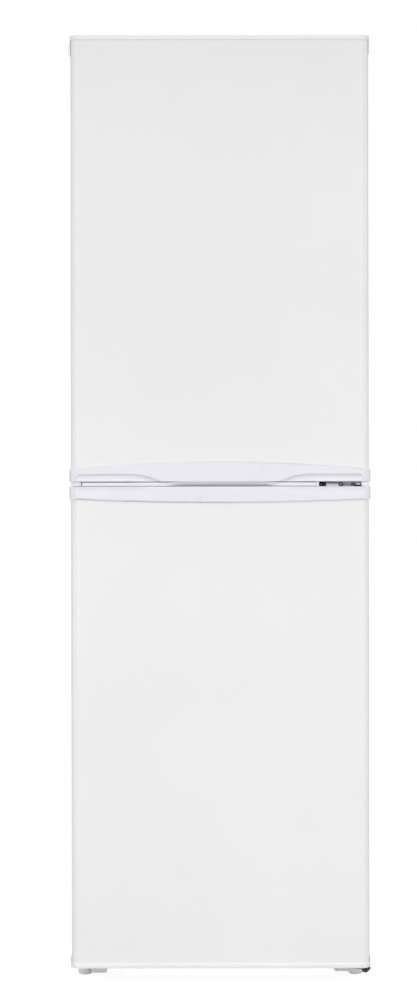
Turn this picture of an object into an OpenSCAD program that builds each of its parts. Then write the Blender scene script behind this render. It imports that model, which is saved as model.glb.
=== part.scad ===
// Free-standing fridge-freezer with two doors, one above the other, hinged on the right.
// Millimetres, Z up. The doors face -Y. The origin is on the floor, under the middle of the object.

/* [Cabinet] */
// Width of the cabinet and of both door skins
cab_w = 544; // [536:2:546]
// Depth from the front of the handle trims to the back of the condenser
overall_d = 600; // [590:5:640]
// Height of the cabinet's bottom edge above the floor
base_z = 25; // [22:1:28]
// Thickness of the sheet steel panels
steel_t = 1; // [0.8:0.1:1.2]
// Thickness of the plastic liners
liner_t = 2; // [1.6:0.1:2.4]
// Width of the side panels' front returns
front_return_w = 32; // [28:1:34]
// Width of the side panels' rear and bottom returns
return_w = 20; // [14:1:24]
// Thickness of the moulded top
worktop_t = 11; // [9:0.5:16]
// Distance that the top stands over the back panel
worktop_over = 6; // [2:1:12]
// Thickness of the front cross rails
rail_t = 2; // [1.5:0.1:2.5]

/* [Doors] */
// Height of the lower door's bottom edge above the floor
door_z = 31; // [30:1:36]
// Height of the lower door
lower_door_h = 876; // [860:2:890]
// Gap between the two doors
door_gap = 9; // [8.5:0.5:12]
// Height of the upper door
upper_door_h = 812; // [790:2:830]
// Gap between the upper door and the top hinge
top_gap = 1; // [0.8:0.1:2]
// Thickness of the doors
door_t = 52; // [48:1:56]
// Bend radius of the door skins
skin_r = 14; // [8:1:16]
// Thickness of the moulded end caps
cap_t = 8; // [7:0.5:10]
// Distance that the end caps stand proud of the skin
cap_proud = 1.5; // [1:0.25:2]
// Length of the side lugs of the end caps
lug_h = 26; // [20:1:30]

/* [Gaskets] */
// Thickness of a closed gasket
gasket_t = 12; // [11:0.5:14]
// Width of a gasket
gasket_w = 14; // [12:0.5:15]
// Distance from a door's edge to its gasket
gasket_inset = 17; // [16.5:0.5:20]
// Gap between a closed gasket and the cabinet
gasket_clear = 0.3; // [0.3:0.05:0.5]

/* [Handle trims] */
// Distance that the trims stand proud of the skin in front
trim_proud = 4; // [3:0.5:5]
// Distance that the trims stand proud of the skin at each side
trim_side = 3; // [2:0.5:4]
// Height of the upper trim at its ends
upper_trim_end_h = 22; // [20:1:26]
// Height of the upper trim in the middle
upper_trim_mid_h = 36.5; // [30:0.5:42]
// Height of the lower trim at its ends
lower_trim_end_h = 23; // [21:1:26]
// Height of the lower trim in the middle
lower_trim_mid_h = 30; // [26:0.5:36]
// Rounding of the trims' long edges
trim_edge_r = 3; // [1:0.5:3.5]
// Distance from a door's edge to the start of a finger scoop
scoop_start = 18; // [14:1:24]
// Length of the straight stretch of a finger scoop
scoop_straight = 90; // [70:2:110]
// Radius of the curve that brings a scoop out at the gap
scoop_curve_r = 117; // [100:1:130]
// Height of the upper scoop
scoop_h = 13.7; // [11:0.1:15]
// Radius of the upper scoop's hollow
scoop_r = 8; // [7.6:0.1:9]
// Height of the lower scoop
low_scoop_h = 16; // [14:0.5:17]
// Radius of the lower scoop's hollow
low_scoop_r = 26; // [22:1:32]
// Distance that the lips at the gap stand back from the trims' fronts
lip_back = 1.7; // [1:0.1:2.2]
// Depth of the finger pockets behind the lips
pocket_d = 24; // [18:1:28]
// Height of the finger pockets behind the lips
pocket_h = 11; // [8:0.5:12]
// Thickness of the lips in front of the pockets
lip_t = 6; // [5:0.5:9]
// Distance that the gap strip stands back from the trims' fronts
strip_back = 10; // [8:0.5:14]
// Clearance of the gap strip under the upper door and over the lower one
strip_clear = 1.2; // [0.8:0.1:2]

/* [Hinges] */
// Distance from the cabinet's side to the hinge axis
hinge_side = 16; // [15:0.5:17]
// Distance from the door's front to the hinge axis
hinge_back = 30; // [26:1:32]
// Diameter of the hinge pins
pin_d = 8; // [6:0.5:9]
// Clearance of a pin in its bush, all round
pin_clear = 0.3; // [0.2:0.05:0.4]
// Length of a pin inside a door
pin_l = 16; // [12:1:18]
// Outside diameter of the hinge bushes
bush_d = 14; // [13:0.5:15]
// Thickness of the hinge plates
plate_t = 3; // [2.5:0.25:3.5]
// Width of the arms of the hinges
arm_w = 26; // [22:1:28]

/* [Compartments] */
// Thickness of the fridge compartment's side walls, foam and liner
fridge_wall = 42; // [40:1:50]
// Thickness of the freezer compartment's side walls, foam and liner
freezer_wall = 57; // [54:1:64]
// Height of the freezer compartment's floor
freezer_z0 = 95; // [90:1:100]
// Distance from the freezer compartment's ceiling up to the top of the lower door
freezer_drop = 35; // [33:1:39]
// Distance from the bottom of the upper door up to the fridge compartment's floor
fridge_rise = 34; // [32:1:38]
// Distance from the fridge compartment's ceiling up to the top of the upper door
fridge_drop = 42; // [40:1:50]
// Thickness of the insulation behind the compartments
rear_foam = 58; // [50:1:64]
// Thickness of the insulation in front of the compressor compartment
step_foam = 58; // [54:1:68]
// Radius of the liners' corners
liner_r = 14; // [10:1:16]
// Width of the ledges that carry the shelves
ledge_w = 8; // [6:0.5:9]
// Height of the ledges
ledge_h = 7; // [5:0.5:8]

/* [Compressor compartment] */
// Height of the compressor compartment's roof
comp_z = 228; // [222:1:234]
// Depth of the compressor compartment
comp_d = 206; // [200:1:212]
// Diameter of the compressor shell
comp_shell_d = 160; // [140:1:166]
// Height of the compressor shell
comp_shell_h = 150; // [130:1:154]
// Width of the evaporation tray on the compressor
tray_w = 140; // [120:2:150]
// Depth of the evaporation tray
tray_d = 112; // [96:2:118]
// Height of the evaporation tray
tray_h = 18; // [12:1:20]
// Distance that the suction pipe stands out beside its stub
suction_out = 20; // [16:1:24]
// Distance that the discharge pipe stands out beside its stub
discharge_out = 42; // [36:1:48]
// Height of the pipes' crossing above the compressor compartment's roof
crossing_h = 34; // [28:1:40]
// Distance from the cabinet's side to the cable gland
gland_side = 82; // [70:1:96]

/* [Shelves and drawers] */
// Distance from the cabinet's front to the shelves
shelf_back = 92; // [88:1:110]
// Thickness of the glass shelves
glass_t = 4; // [3:0.5:5]
// Height of the crispers
crisper_h = 190; // [170:2:196]
// Height that each freezer level leaves above its drawer
drawer_room = 18; // [16:1:24]
// Wall of the drawers and crispers
bin_t = 2.5; // [2:0.1:3]
// Running clearance of the drawers and crispers
bin_clear = 1; // [0.6:0.1:1.4]
// Depth of the door shelves
balcony_d = 92; // [80:1:94]
// Distance from the lowest door shelf up to the middle one
low_balcony_rise = 234; // [190:2:240]
// Distance from the middle door shelf up to the highest one
high_balcony_rise = 208; // [170:2:216]
// Length of the thermostat housing, front to back
housing_w = 150; // [130:2:170]
// Height of the thermostat housing
housing_h = 110; // [96:1:114]
// Depth of the thermostat housing from the side wall
housing_d = 34; // [28:1:38]
// Width of the raised frame on the inside of the doors
dyke_w = 20; // [18:1:24]

/* [Condenser] */
// Distance from the back panel to the outermost wires
condenser_gap = 32; // [28:1:36]
// Diameter of the condenser tube
tube_d = 5; // [4:0.25:6]
// Diameter of the condenser wires
wire_d = 1.6; // [1.2:0.1:2]
// Number of runs of the condenser tube
runs = 22; // [12:2:24]
// Distance between the runs
run_pitch = 56; // [50:1:58]
// Number of wires on each side of the tube
wires = 27; // [11:2:31]
// Distance between the wires
wire_pitch = 14.5; // [12:0.5:15]

/* [Feet and rollers] */
// Diameter of the levelling feet
foot_d = 26; // [22:1:28]
// Height of the levelling feet's pads
foot_h = 13; // [11:1:14]
// Diameter of the rear rollers
roller_d = 22; // [20:1:22]
// Width of the rear rollers
roller_w = 18; // [14:1:22]

/* [Hidden] */
$fn = 48;
eps = 0.01;

foam_joint = 0.02;

// Places along Y, from the handle trims back
y_front = -overall_d / 2;
y_face = y_front + trim_proud;
y_hinge = y_face + hinge_back;
y_rear = y_face + door_t;
y_cab = y_rear + gasket_t;
y_back = overall_d / 2 - condenser_gap;
y_foam = y_back - 2 * steel_t;
y_liner = y_foam - rear_foam;
y_comp = y_back - comp_d;
y_step = y_comp - step_foam;
y_shelf = y_cab + shelf_back;

// Places along X
x_cab = cab_w / 2;
x_trim = x_cab + trim_side;
x_hinge = x_cab - hinge_side;
x_rail = x_cab - front_return_w;
x_gasket = x_cab - gasket_inset;
fridge_half = x_cab - fridge_wall;
freezer_half = x_cab - freezer_wall;
x_dyke = fridge_half - 14;
x_frz_dyke = freezer_half - 6;

// Places along Z
lower_top = door_z + lower_door_h;
upper_z = lower_top + door_gap;
upper_top = upper_z + upper_door_h;
body_top = upper_top + top_gap;
overall_h = body_top + worktop_t;
freezer_z1 = lower_top - freezer_drop;
fridge_z0 = upper_z + fridge_rise;
fridge_z1 = upper_top - fridge_drop;
level_h = (freezer_z1 - freezer_z0 - 1) / 4;
step_z = freezer_z0 + level_h - 9;
z_pan = base_z + steel_t;
z_foam = z_pan + steel_t;
z_plate = lower_top + (door_gap - plate_t) / 2;
upper_skin_z = upper_z + scoop_h + 2.3;
lower_skin_z = lower_top - low_scoop_h - 2;

// Compressor compartment
base_t = 1.5;
comp_x = -50;
comp_y = y_comp + comp_d / 2 + 2;
comp_foot_z = z_pan + base_t;
grommet_h = 16;
grommet_dx = 84;
grommet_dy = 58;
comp_plate_z = comp_foot_z + grommet_h - 6;
comp_plate_t = 3;
comp_shell_z = comp_plate_z + comp_plate_t;
comp_seam = comp_shell_h * 0.46;
gland_x = x_cab - gland_side;

// Condenser and pipes
wire_gap = 0.2;
y_tube = overall_d / 2 - wire_d - wire_gap - tube_d / 2;
y_pipe = y_back + 12;
y_drop = y_back + 17;
x_run = 186;
drop_x = x_run + run_pitch / 2 + 8;
run_z0 = comp_z + 118;
clip_x = ((wires - 1) / 2 - 0.5) * wire_pitch;
drier_d = 16;
drier_l = 84;
drier_z1 = run_z0 + 96;
drier_z0 = drier_z1 - drier_l;
pipe_x = 150;
crossing_z = comp_z + crossing_h;
pipe_z = crossing_z + 26;
stub_x = comp_x - comp_shell_d / 2 - 26;
suction_d = 8;
suction_y = comp_y + 20;
suction_z = comp_shell_z + comp_seam - 20;
discharge_y = comp_y - 24;
discharge_z = suction_z - 14;
capillary_d = 2.4;

// Screws, feet and rollers
screw_d = 5;
head_d = 9;
head_t = 2.6;
screw_fit = 0.2;
flange_x = x_hinge - 80;
flange_screw_x = [x_hinge - 68, x_hinge - 32];
plug_w = 19;
flange_screw_z = lower_top + door_gap / 2;
top_screw_x = [x_hinge - 20, x_hinge + 4];
top_screw_y = y_cab + 34;
top_screw_l = 16;
bracket_w = 58;
bracket_screw_x = [x_cab - bracket_w + 5, bracket_w - x_cab - 5];
bracket_screw_y = y_cab + 40;
bracket_screw_l = 10;
stem_d = 8;
stem_l = 30;
x_foot = x_cab - 20;
y_foot = y_cab + 7 + foot_d / 2;
bracket_z = base_z - plate_t;
x_roller = x_cab - 32;
y_roller = y_back - 26;
axle_d = 6;

// Fridge compartment
cover_z = fridge_z0 + crisper_h + 8;
shelf_pitch = (fridge_z1 - cover_z - 34) / 4;
shelf_z = [for (i = [1:3]) cover_z + i * shelf_pitch];
th_z0 = shelf_z[2] + 10;
th_y0 = y_shelf + 24;
th_y1 = th_y0 + housing_w;
th_z1 = th_z0 + housing_h;
lamp_y0 = th_y0 + 62;
lamp_y1 = th_y1 - 8;
lamp_z0 = th_z0 + 12;
lamp_z1 = th_z1 - 12;
lamp_fit = 0.3;
knob_z = th_z0 + 34;
knob_y = th_y0 + 36;
crisper_w = (2 * fridge_half - 3 * bin_clear) / 2;

// Freezer compartment
evap_t = 1.2;
evap_tube = 7;
drawer_h = level_h - drawer_room;
drawer_half = freezer_half - bin_clear - 1;
drawer_y0 = y_cab + 32;

// Insides of the doors
bush_l = pin_l + 3;
seat_gap = 0.2;
dyke_d = 39;
frz_dyke_d = 16;
dyke_z0 = fridge_z0 + 14;
dyke_z1 = fridge_z1 - 14;
balcony_half = x_dyke - dyke_w - 0.5;
balcony_y0 = y_rear + 0.2;
balcony_y1 = y_rear + balcony_d;
low_balcony_z = dyke_z0 + dyke_w + 8;
balcony_z = [low_balcony_z, low_balcony_z + low_balcony_rise,
    low_balcony_z + low_balcony_rise + high_balcony_rise];
balcony_h = [92, 70, 70];
lug_w = 7;

// Gives the height of run i of the condenser tube
function run_z(i) = run_z0 + i * run_pitch;
// Gives the height of evaporator level i
function evap_z(i) = freezer_z0 + i * level_h;
// Gives a direction as a vector of length 1
function unit(v) = v / norm(v);
// Gives the height of circle r's centre above a chord of length c
function centre_off(r, c) = sqrt(r * r - c * c / 4);
// Gives the radius of an arch over a half chord a with a rise s
function arch_radius(a, s) = (a * a + s * s) / (2 * s);

// Draws a profile given as (y, z) and extrudes it from x0 to x1
module along_x(x0, x1) {
    translate([x0, 0, 0]) rotate([90, 0, 90]) linear_extrude(x1 - x0) children();
}

// Draws a profile given as (x, z) and extrudes it from y0 to y1
module along_y(y0, y1) {
    translate([0, y1, 0]) rotate([90, 0, 0]) linear_extrude(y1 - y0) children();
}

// Draws a profile given as (x, y) and extrudes it from z0 to z1
module along_z(z0, z1) {
    translate([0, 0, z0]) linear_extrude(z1 - z0) children();
}

// A box given by its two corners
module block(x0, x1, y0, y1, z0, z1) {
    translate([x0, y0, z0]) cube([x1 - x0, y1 - y0, z1 - z0]);
}

// A rectangle given by its two corners, with all corners rounded
module round_rect(x0, x1, y0, y1, r) {
    translate([x0 + r, y0]) square([x1 - x0 - 2 * r, y1 - y0]);
    translate([x0, y0 + r]) square([x1 - x0, y1 - y0 - 2 * r]);
    for (x = [x0 + r, x1 - r]) {
        for (y = [y0 + r, y1 - r]) {
            translate([x, y]) circle(r);
        }
    }
}

// A rectangle whose two front corners are rounded, as seen from above
module front_round_rect(half, y0, y1, r) {
    translate([-half, y0 + r]) square([2 * half, y1 - y0 - r]);
    translate([-half + r, y0]) square([2 * (half - r), y1 - y0]);
    for (s = [-1, 1]) {
        translate([s * (half - r), y0 + r]) circle(r);
    }
}

// A cylinder along X, Y or Z through a point
module rod_x(x0, x1, y, z, d) {
    translate([x0, y, z]) rotate([0, 90, 0]) cylinder(d = d, h = x1 - x0);
}

module rod_y(y0, y1, x, z, d) {
    translate([x, y0, z]) rotate([-90, 0, 0]) cylinder(d = d, h = y1 - y0);
}

module rod_z(z0, z1, x, y, d) {
    translate([x, y, z0]) cylinder(d = d, h = z1 - z0);
}

// Cabinet

module side_panel() {
    along_z(base_z, body_top) {
        translate([x_cab - steel_t, y_cab]) square([steel_t, y_back - y_cab]);
        translate([x_rail, y_cab]) square([front_return_w, steel_t]);
        translate([x_cab - return_w, y_back - 2 * steel_t]) square([return_w, steel_t]);
    }
    block(x_cab - return_w, x_cab, y_cab, y_back, base_z, z_pan);
}

module side_panel_left() {
    color("whitesmoke") difference() {
        mirror([1, 0, 0]) side_panel();
        rod_z(base_z - 1, z_pan + 1, -x_foot, y_foot, stem_d + 1);
    }
}

module side_panel_right() {
    color("whitesmoke") difference() {
        side_panel();
        rod_z(base_z - 1, z_pan + 1, x_foot, y_foot, stem_d + 1);
    }
}

// The top wraps the cabinet's upper edge and has a recess for the top hinge
module worktop() {
    half = x_cab;
    edge = 4;
    color("whitesmoke") difference() {
        union() {
            along_z(body_top, overall_h - edge)
                round_rect(-half, half, y_cab - 2, y_back + worktop_over, edge * 2);
            along_z(overall_h - edge, overall_h)
                round_rect(-half + edge, half - edge, y_cab - 2 + edge, y_back + worktop_over - edge, edge);
            along_z(overall_h - edge, overall_h - edge / 2)
                round_rect(-half + 1, half - 1, y_cab - 1, y_back + worktop_over - 1, edge * 2);
        }
        block(x_hinge - arm_w - 14, x_hinge + arm_w / 2 + 1, y_cab - 3, y_cab + 60,
            body_top - 1, body_top + plate_t + head_t + 1);
        block(-x_cab + 30, x_cab - 30, y_cab + 75, y_back - 20, body_top - 1, body_top + 4);
    }
}

module back_panel() {
    swage_w = 22;
    color("gainsboro") difference() {
        union() {
            block(-x_cab + 2, x_cab - 2, y_back - steel_t, y_back, comp_z + steel_t, body_top);
            for (x = [-150, 0, 150]) {
                along_y(y_back - steel_t, y_back + 1.5)
                    round_rect(x - swage_w / 2, x + swage_w / 2, comp_z + 60, body_top - 60, swage_w / 2 - 0.5);
            }
        }
        rod_y(y_back - 3, y_back + 3, pipe_x, pipe_z, 16);
    }
}

module bottom_pan() {
    t = steel_t;
    color("silver") difference() {
        along_x(-x_cab + steel_t, x_cab - steel_t) {
            translate([y_cab + rail_t, z_pan]) square([y_comp - y_cab - rail_t, t]);
            translate([y_comp - t, z_pan]) square([t, comp_z - z_pan]);
            translate([y_comp - t, comp_z]) square([y_back - y_comp + t - 2 * t, t]);
        }
        for (s = [-1, 1]) {
            rod_z(base_z - 1, z_foam + 1, s * x_foot, y_foot, stem_d + 1);
        }
        for (x = bracket_screw_x) {
            rod_z(base_z - 1, z_foam + 1, x, bracket_screw_y, screw_d + screw_fit);
        }
    }
}

// The foam fills the space between the shell and the liners. It is drawn wall by wall,
// and foam_joint is the hair's breadth between two walls
module insulation() {
    z_stem = foot_h + stem_l + 2;
    x = x_cab - steel_t;
    x_fridge = fridge_half + liner_t;
    x_freezer = freezer_half + liner_t;
    y0 = y_cab + rail_t;
    y1 = y_liner + liner_t;
    y_low = y_comp - steel_t;
    z_low = freezer_z0 - liner_t;
    z_roof = comp_z + steel_t;
    z_step = step_z - liner_t;
    z_mid0 = freezer_z1 + liner_t;
    z_mid1 = fridge_z0 - liner_t;
    z_top = fridge_z1 + liner_t;
    j = foam_joint;
    color("khaki") difference() {
        union() {
            block(-x, x, y0, y_foam, z_top + j, body_top);
            block(-x_fridge, x_fridge, y1, y_foam, z_mid1 + j, z_top);
            block(-x, x, y0, y_foam, z_mid0 + j, z_mid1);
            block(-x_freezer, x_freezer, y1, y_foam, z_step + j, z_mid0);
            block(-x_freezer, x_freezer, y_step + liner_t, y_foam, z_roof + j, z_step);
            block(-x_freezer, x_freezer, y_step + liner_t, y_low, z_low + j, z_roof);
            block(-x, x, y0, y_low, z_foam, z_low);
            for (s = [0, 1]) {
                mirror([s, 0, 0]) {
                    block(x_fridge + j, x, y0, y_foam, z_mid1 + j, z_top);
                    block(x_freezer + j, x, y0, y_foam, z_roof + j, z_mid0);
                    block(x_freezer + j, x, y0, y_low, z_low + j, z_roof);
                }
            }
        }
        for (s = [-1, 1]) {
            rod_z(z_foam - 1, z_stem, s * x_foot, y_foot, stem_d + 1);
        }
        for (x = bracket_screw_x) {
            rod_z(z_foam - 1, z_foam + bracket_screw_l, x, bracket_screw_y, screw_d + screw_fit);
        }
        for (x = top_screw_x) {
            rod_z(body_top - top_screw_l, body_top + 1, x, top_screw_y, screw_d + screw_fit);
        }
    }
}

// The compartments' hollows, grown by t on every closed side
module fridge_space(t, front) {
    along_y(y_cab - front, y_liner + t)
        round_rect(-fridge_half - t, fridge_half + t, fridge_z0 - t, fridge_z1 + t, liner_r + t);
}

module freezer_space(t, front) {
    intersection() {
        along_y(y_cab - front, y_liner + t)
            round_rect(-freezer_half - t, freezer_half + t, freezer_z0 - t, freezer_z1 + t, liner_r + t);
        along_x(-freezer_half - t - 1, freezer_half + t + 1) {
            translate([y_cab - front, freezer_z0 - t]) square([y_step + t - y_cab + front, step_z - freezer_z0 + 20]);
            translate([y_cab - front, step_z - t]) square([y_liner + t - y_cab + front, freezer_z1 - step_z + 2 * t]);
        }
    }
}

// A pair of ledges on the side walls; top is the height of what rests on them
module ledges(half, y0, y1, top) {
    for (s = [0, 1]) {
        mirror([s, 0, 0]) along_y(y0, y1) polygon([
            [half + eps, top], [half - ledge_w, top], [half - ledge_w, top - ledge_h * 0.4],
            [half + eps, top - ledge_h]]);
    }
}

module fridge_liner() {
    color("white") union() {
        difference() {
            union() {
                fridge_space(liner_t, 0);
                along_y(y_cab, y_cab + rail_t)
                    round_rect(-x_rail, x_rail, fridge_z0 - 12, fridge_z1 + 12, 4);
            }
            fridge_space(0, 1);
        }
        for (z = concat([cover_z], shelf_z)) {
            ledges(fridge_half, y_shelf, y_liner - 18, z);
        }
    }
}

module freezer_liner() {
    color("white") union() {
        difference() {
            union() {
                freezer_space(liner_t, 0);
                along_y(y_cab, y_cab + rail_t)
                    round_rect(-x_rail, x_rail, freezer_z0 - 12, freezer_z1 + 12, 4);
            }
            freezer_space(0, 1);
        }
        for (i = [1:3]) {
            ledges(freezer_half, y_cab + 40, y_liner - 12, evap_z(i));
        }
    }
}

module front_rails() {
    color("whitesmoke") difference() {
        along_y(y_cab, y_cab + rail_t) {
            translate([-x_rail, fridge_z1 + 12]) square([2 * x_rail, body_top - fridge_z1 - 12]);
            translate([-x_rail, freezer_z1 + 12]) square([2 * x_rail, fridge_z0 - freezer_z1 - 24]);
            translate([-x_rail, z_pan]) square([2 * x_rail, freezer_z0 - 12 - z_pan]);
        }
        for (x = flange_screw_x) {
            rod_y(y_cab - 1, y_cab + 5, x, flange_screw_z, screw_d + screw_fit);
        }
    }
}

// Hinges

// The arm of a hinge, seen from above, from the cabinet's front to the pin
module arm_profile(y1, w) {
    translate([x_hinge - w / 2, y_hinge]) square([w, y1 - y_hinge]);
    translate([x_hinge, y_hinge]) circle(d = w);
}

module top_hinge() {
    color("silver") difference() {
        union() {
            along_z(body_top, body_top + plate_t) {
                arm_profile(y_cab + 56, arm_w);
                translate([x_hinge - arm_w / 2 - 24, y_cab + 8]) square([28, 44]);
            }
            rod_z(upper_top - pin_l, body_top + plate_t, x_hinge, y_hinge, pin_d);
        }
        for (x = top_screw_x) {
            rod_z(body_top - 1, body_top + plate_t + 1, x, top_screw_y, screw_d + 0.4);
        }
    }
}

// The middle hinge is a plate in the gap with a flange on the cabinet and a pin each way
module middle_hinge() {
    color("silver") difference() {
        union() {
            along_z(z_plate, z_plate + plate_t) arm_profile(y_cab, arm_w);
            along_y(y_cab - plate_t, y_cab)
                round_rect(flange_x, x_hinge + arm_w / 2, lower_top - 7, upper_z + 7, 3);
            rod_z(lower_top - pin_l, upper_z + pin_l, x_hinge, y_hinge, pin_d);
        }
        for (x = flange_screw_x) {
            rod_y(y_cab - plate_t - 1, y_cab + 1, x, flange_screw_z, screw_d + 0.4);
        }
    }
}

// A pressed bracket under the cabinet's front corner that holds a levelling foot.
// Its front skirt ends at x_out and hangs to z_in at the inner end and to z_out at the outer end
module foot_bracket(x_out, z_in, z_out) {
    x_in = x_cab - 4 - bracket_w;
    difference() {
        union() {
            block(x_in, x_cab - 4, y_cab - 2, y_cab + 52, bracket_z, base_z);
            along_y(y_cab - 2 - plate_t, y_cab - 2) {
                polygon([[x_in, base_z], [x_in, z_in + 3], [x_in + 3, z_in], [x_in + bracket_w * 0.4, z_in],
                    [x_out - 2, z_out], [x_out, z_out + 2], [x_out, base_z]]);
            }
            rod_z(bracket_z - 6, base_z, x_foot, y_foot, stem_d + 6);
        }
        rod_z(bracket_z - 7, base_z + 1, x_foot, y_foot, stem_d + 0.4);
        rod_z(bracket_z - 1, base_z + 1, x_in + 9, bracket_screw_y, screw_d + screw_fit);
    }
}

module support_bracket_left() {
    color("whitesmoke") mirror([1, 0, 0]) foot_bracket(x_foot - foot_d / 2 + 1, 7, 7);
}

module bottom_hinge() {
    color("whitesmoke") union() {
        foot_bracket(x_cab - 9, 9.5, 7);
        along_z(bracket_z, base_z) arm_profile(y_cab, arm_w);
        rod_z(bracket_z, door_z + pin_l, x_hinge, y_hinge, pin_d);
    }
}

// A moulded clip on the end of the bottom hinge's arm, with a hollow front
module bottom_hinge_clip() {
    y0 = y_face + 5;
    y1 = y_hinge - arm_w / 2 - 0.5;
    z_top = door_z - 0.6;
    x0 = x_hinge + 2;
    color("dimgray") difference() {
        union() {
            along_y(y0, y1) polygon([[x0, z_top], [x0, 26], [x0 + 5, 21], [x0 + 8, 21],
                [x_cab + 1, 27.5], [x_cab + 1, z_top]]);
            block(x0 + 1, x0 + 9, y1 - 4, y_hinge + 6, bracket_z - 2, bracket_z);
        }
        along_y(y0 - 1, y1 - 3) polygon([[x0 + 3, z_top - 2], [x0 + 3.4, 27], [x0 + 6, 25], [x0 + 9.5, z_top - 2]]);
    }
}

module hinge_screws() {
    color("dimgray") union() {
        for (x = flange_screw_x) {
            rod_y(y_cab - plate_t - head_t, y_cab - plate_t, x, flange_screw_z, head_d);
            rod_y(y_cab - plate_t, y_cab + rail_t, x, flange_screw_z, screw_d);
        }
        for (x = top_screw_x) {
            rod_z(body_top + plate_t, body_top + plate_t + head_t, x, top_screw_y, head_d);
            rod_z(body_top - top_screw_l + 1, body_top + plate_t, x, top_screw_y, screw_d);
        }
        for (x = bracket_screw_x) {
            rod_z(bracket_z - head_t, bracket_z, x, bracket_screw_y, head_d);
            rod_z(bracket_z, z_foam + bracket_screw_l - 1, x, bracket_screw_y, screw_d);
        }
    }
}

// The plug that closes the gap on the side without a hinge
module gap_blanking_plug() {
    color("white") union() {
        along_y(y_cab - 2, y_cab) round_rect(-x_cab + 1, -x_cab + 1 + plug_w, lower_top - 6, upper_z + 6, 2);
        block(-x_cab + 1, -x_cab + 1 + plug_w, y_cab - 40, y_cab - 2, lower_top + 1.5, upper_z - 1.5);
        along_z(lower_top + 1.5, upper_z - 1.5)
            translate([-x_cab + 1 + plug_w / 2, y_cab - 40]) circle(d = plug_w);
    }
}

// The strip that closes the gap between the doors, from the plug to the middle hinge
module gap_strip() {
    x0 = -x_cab + 1 + plug_w + 1.5;
    x1 = flange_x - 1.5;
    z0 = lower_top + strip_clear;
    z1 = upper_z - strip_clear;
    y0 = y_front + strip_back;
    wall = 1.6;
    color("white") difference() {
        union() {
            along_x(x0, x1) {
                translate([y0 + 1, z0]) square([y_cab - y0 - 1, z1 - z0]);
                translate([y0, z0 + 1]) square([y_cab - y0, z1 - z0 - 2]);
                translate([y0 + 1, z0 + 1]) circle(1, $fn = 24);
                translate([y0 + 1, z1 - 1]) circle(1, $fn = 24);
                translate([y_cab - 2, z0 - 6]) square([2, z1 - z0 + 12]);
            }
        }
        block(x0 + wall, x1 - wall, y0 + 2 * wall, y_cab + 1, z0 + wall, z1 - wall);
    }
}

// Feet and rollers

module levelling_foot() {
    rib = 1.2;
    rod_z(0, 2, 0, 0, foot_d - 3);
    difference() {
        rod_z(2, foot_h, 0, 0, foot_d);
        for (a = [0:30:330]) {
            rotate([0, 0, a]) rod_z(3, foot_h + 1, foot_d / 2 + rib * 0.4, 0, 2 * rib);
        }
    }
    rod_z(foot_h, foot_h + stem_l, 0, 0, stem_d);
}

module foot_left() {
    color("white") translate([-x_foot, y_foot, 0]) levelling_foot();
}

module foot_right() {
    color("white") translate([x_foot, y_foot, 0]) levelling_foot();
}

module roller() {
    difference() {
        union() {
            rod_x(-roller_w / 2 + 2, roller_w / 2 - 2, 0, 0, roller_d);
            rod_x(-roller_w / 2, roller_w / 2, 0, 0, roller_d - 3);
        }
        rod_x(-roller_w, roller_w, 0, 0, axle_d + 0.8);
    }
}

module roller_left() {
    color("dimgray") translate([-x_roller, y_roller, roller_d / 2]) roller();
}

module roller_right() {
    color("dimgray") translate([x_roller, y_roller, roller_d / 2]) roller();
}

// Compressor compartment

module at_grommets() {
    for (sx = [-1, 1]) {
        for (sy = [-1, 1]) {
            translate([comp_x + sx * grommet_dx, comp_y + sy * grommet_dy, 0]) children();
        }
    }
}

// The base carries the compressor on studs and the rollers on ears
module compressor_base() {
    ear_t = 2;
    ear_gap = roller_w / 2 + 0.6;
    x_flange = x_cab - return_w - 2;
    color("silver") union() {
        block(-x_cab + 4, x_cab - 4, y_comp + 2, y_back - 2 * steel_t, z_pan, comp_foot_z);
        block(-x_flange, x_flange, y_back - 2 * steel_t - 1, y_back, z_pan, comp_foot_z);
        block(-x_flange, x_flange, y_back - base_t, y_back, base_z - 8, comp_foot_z + 14);
        at_grommets() rod_z(comp_foot_z, comp_foot_z + grommet_h + 5, 0, 0, 6);
        for (s = [-1, 1]) {
            for (e = [-1, 1]) {
                x_ear = s * x_roller + e * (ear_gap + ear_t / 2);
                along_x(x_ear - ear_t / 2, x_ear + ear_t / 2) {
                    translate([y_roller - 9, roller_d / 2]) square([18, z_pan - roller_d / 2]);
                    translate([y_roller, roller_d / 2]) circle(d = 18);
                }
            }
            rod_x(s * x_roller - ear_gap - 4, s * x_roller + ear_gap + 4, y_roller, roller_d / 2, axle_d);
        }
    }
}

module compressor_grommets() {
    color("dimgray") at_grommets() difference() {
        union() {
            rod_z(comp_foot_z, comp_plate_z, 0, 0, 22);
            rod_z(comp_plate_z, comp_plate_z + comp_plate_t, 0, 0, 13.6);
            rod_z(comp_plate_z + comp_plate_t, comp_foot_z + grommet_h, 0, 0, 18);
        }
        rod_z(comp_foot_z - 1, comp_foot_z + grommet_h + 1, 0, 0, 6.4);
    }
}

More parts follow.
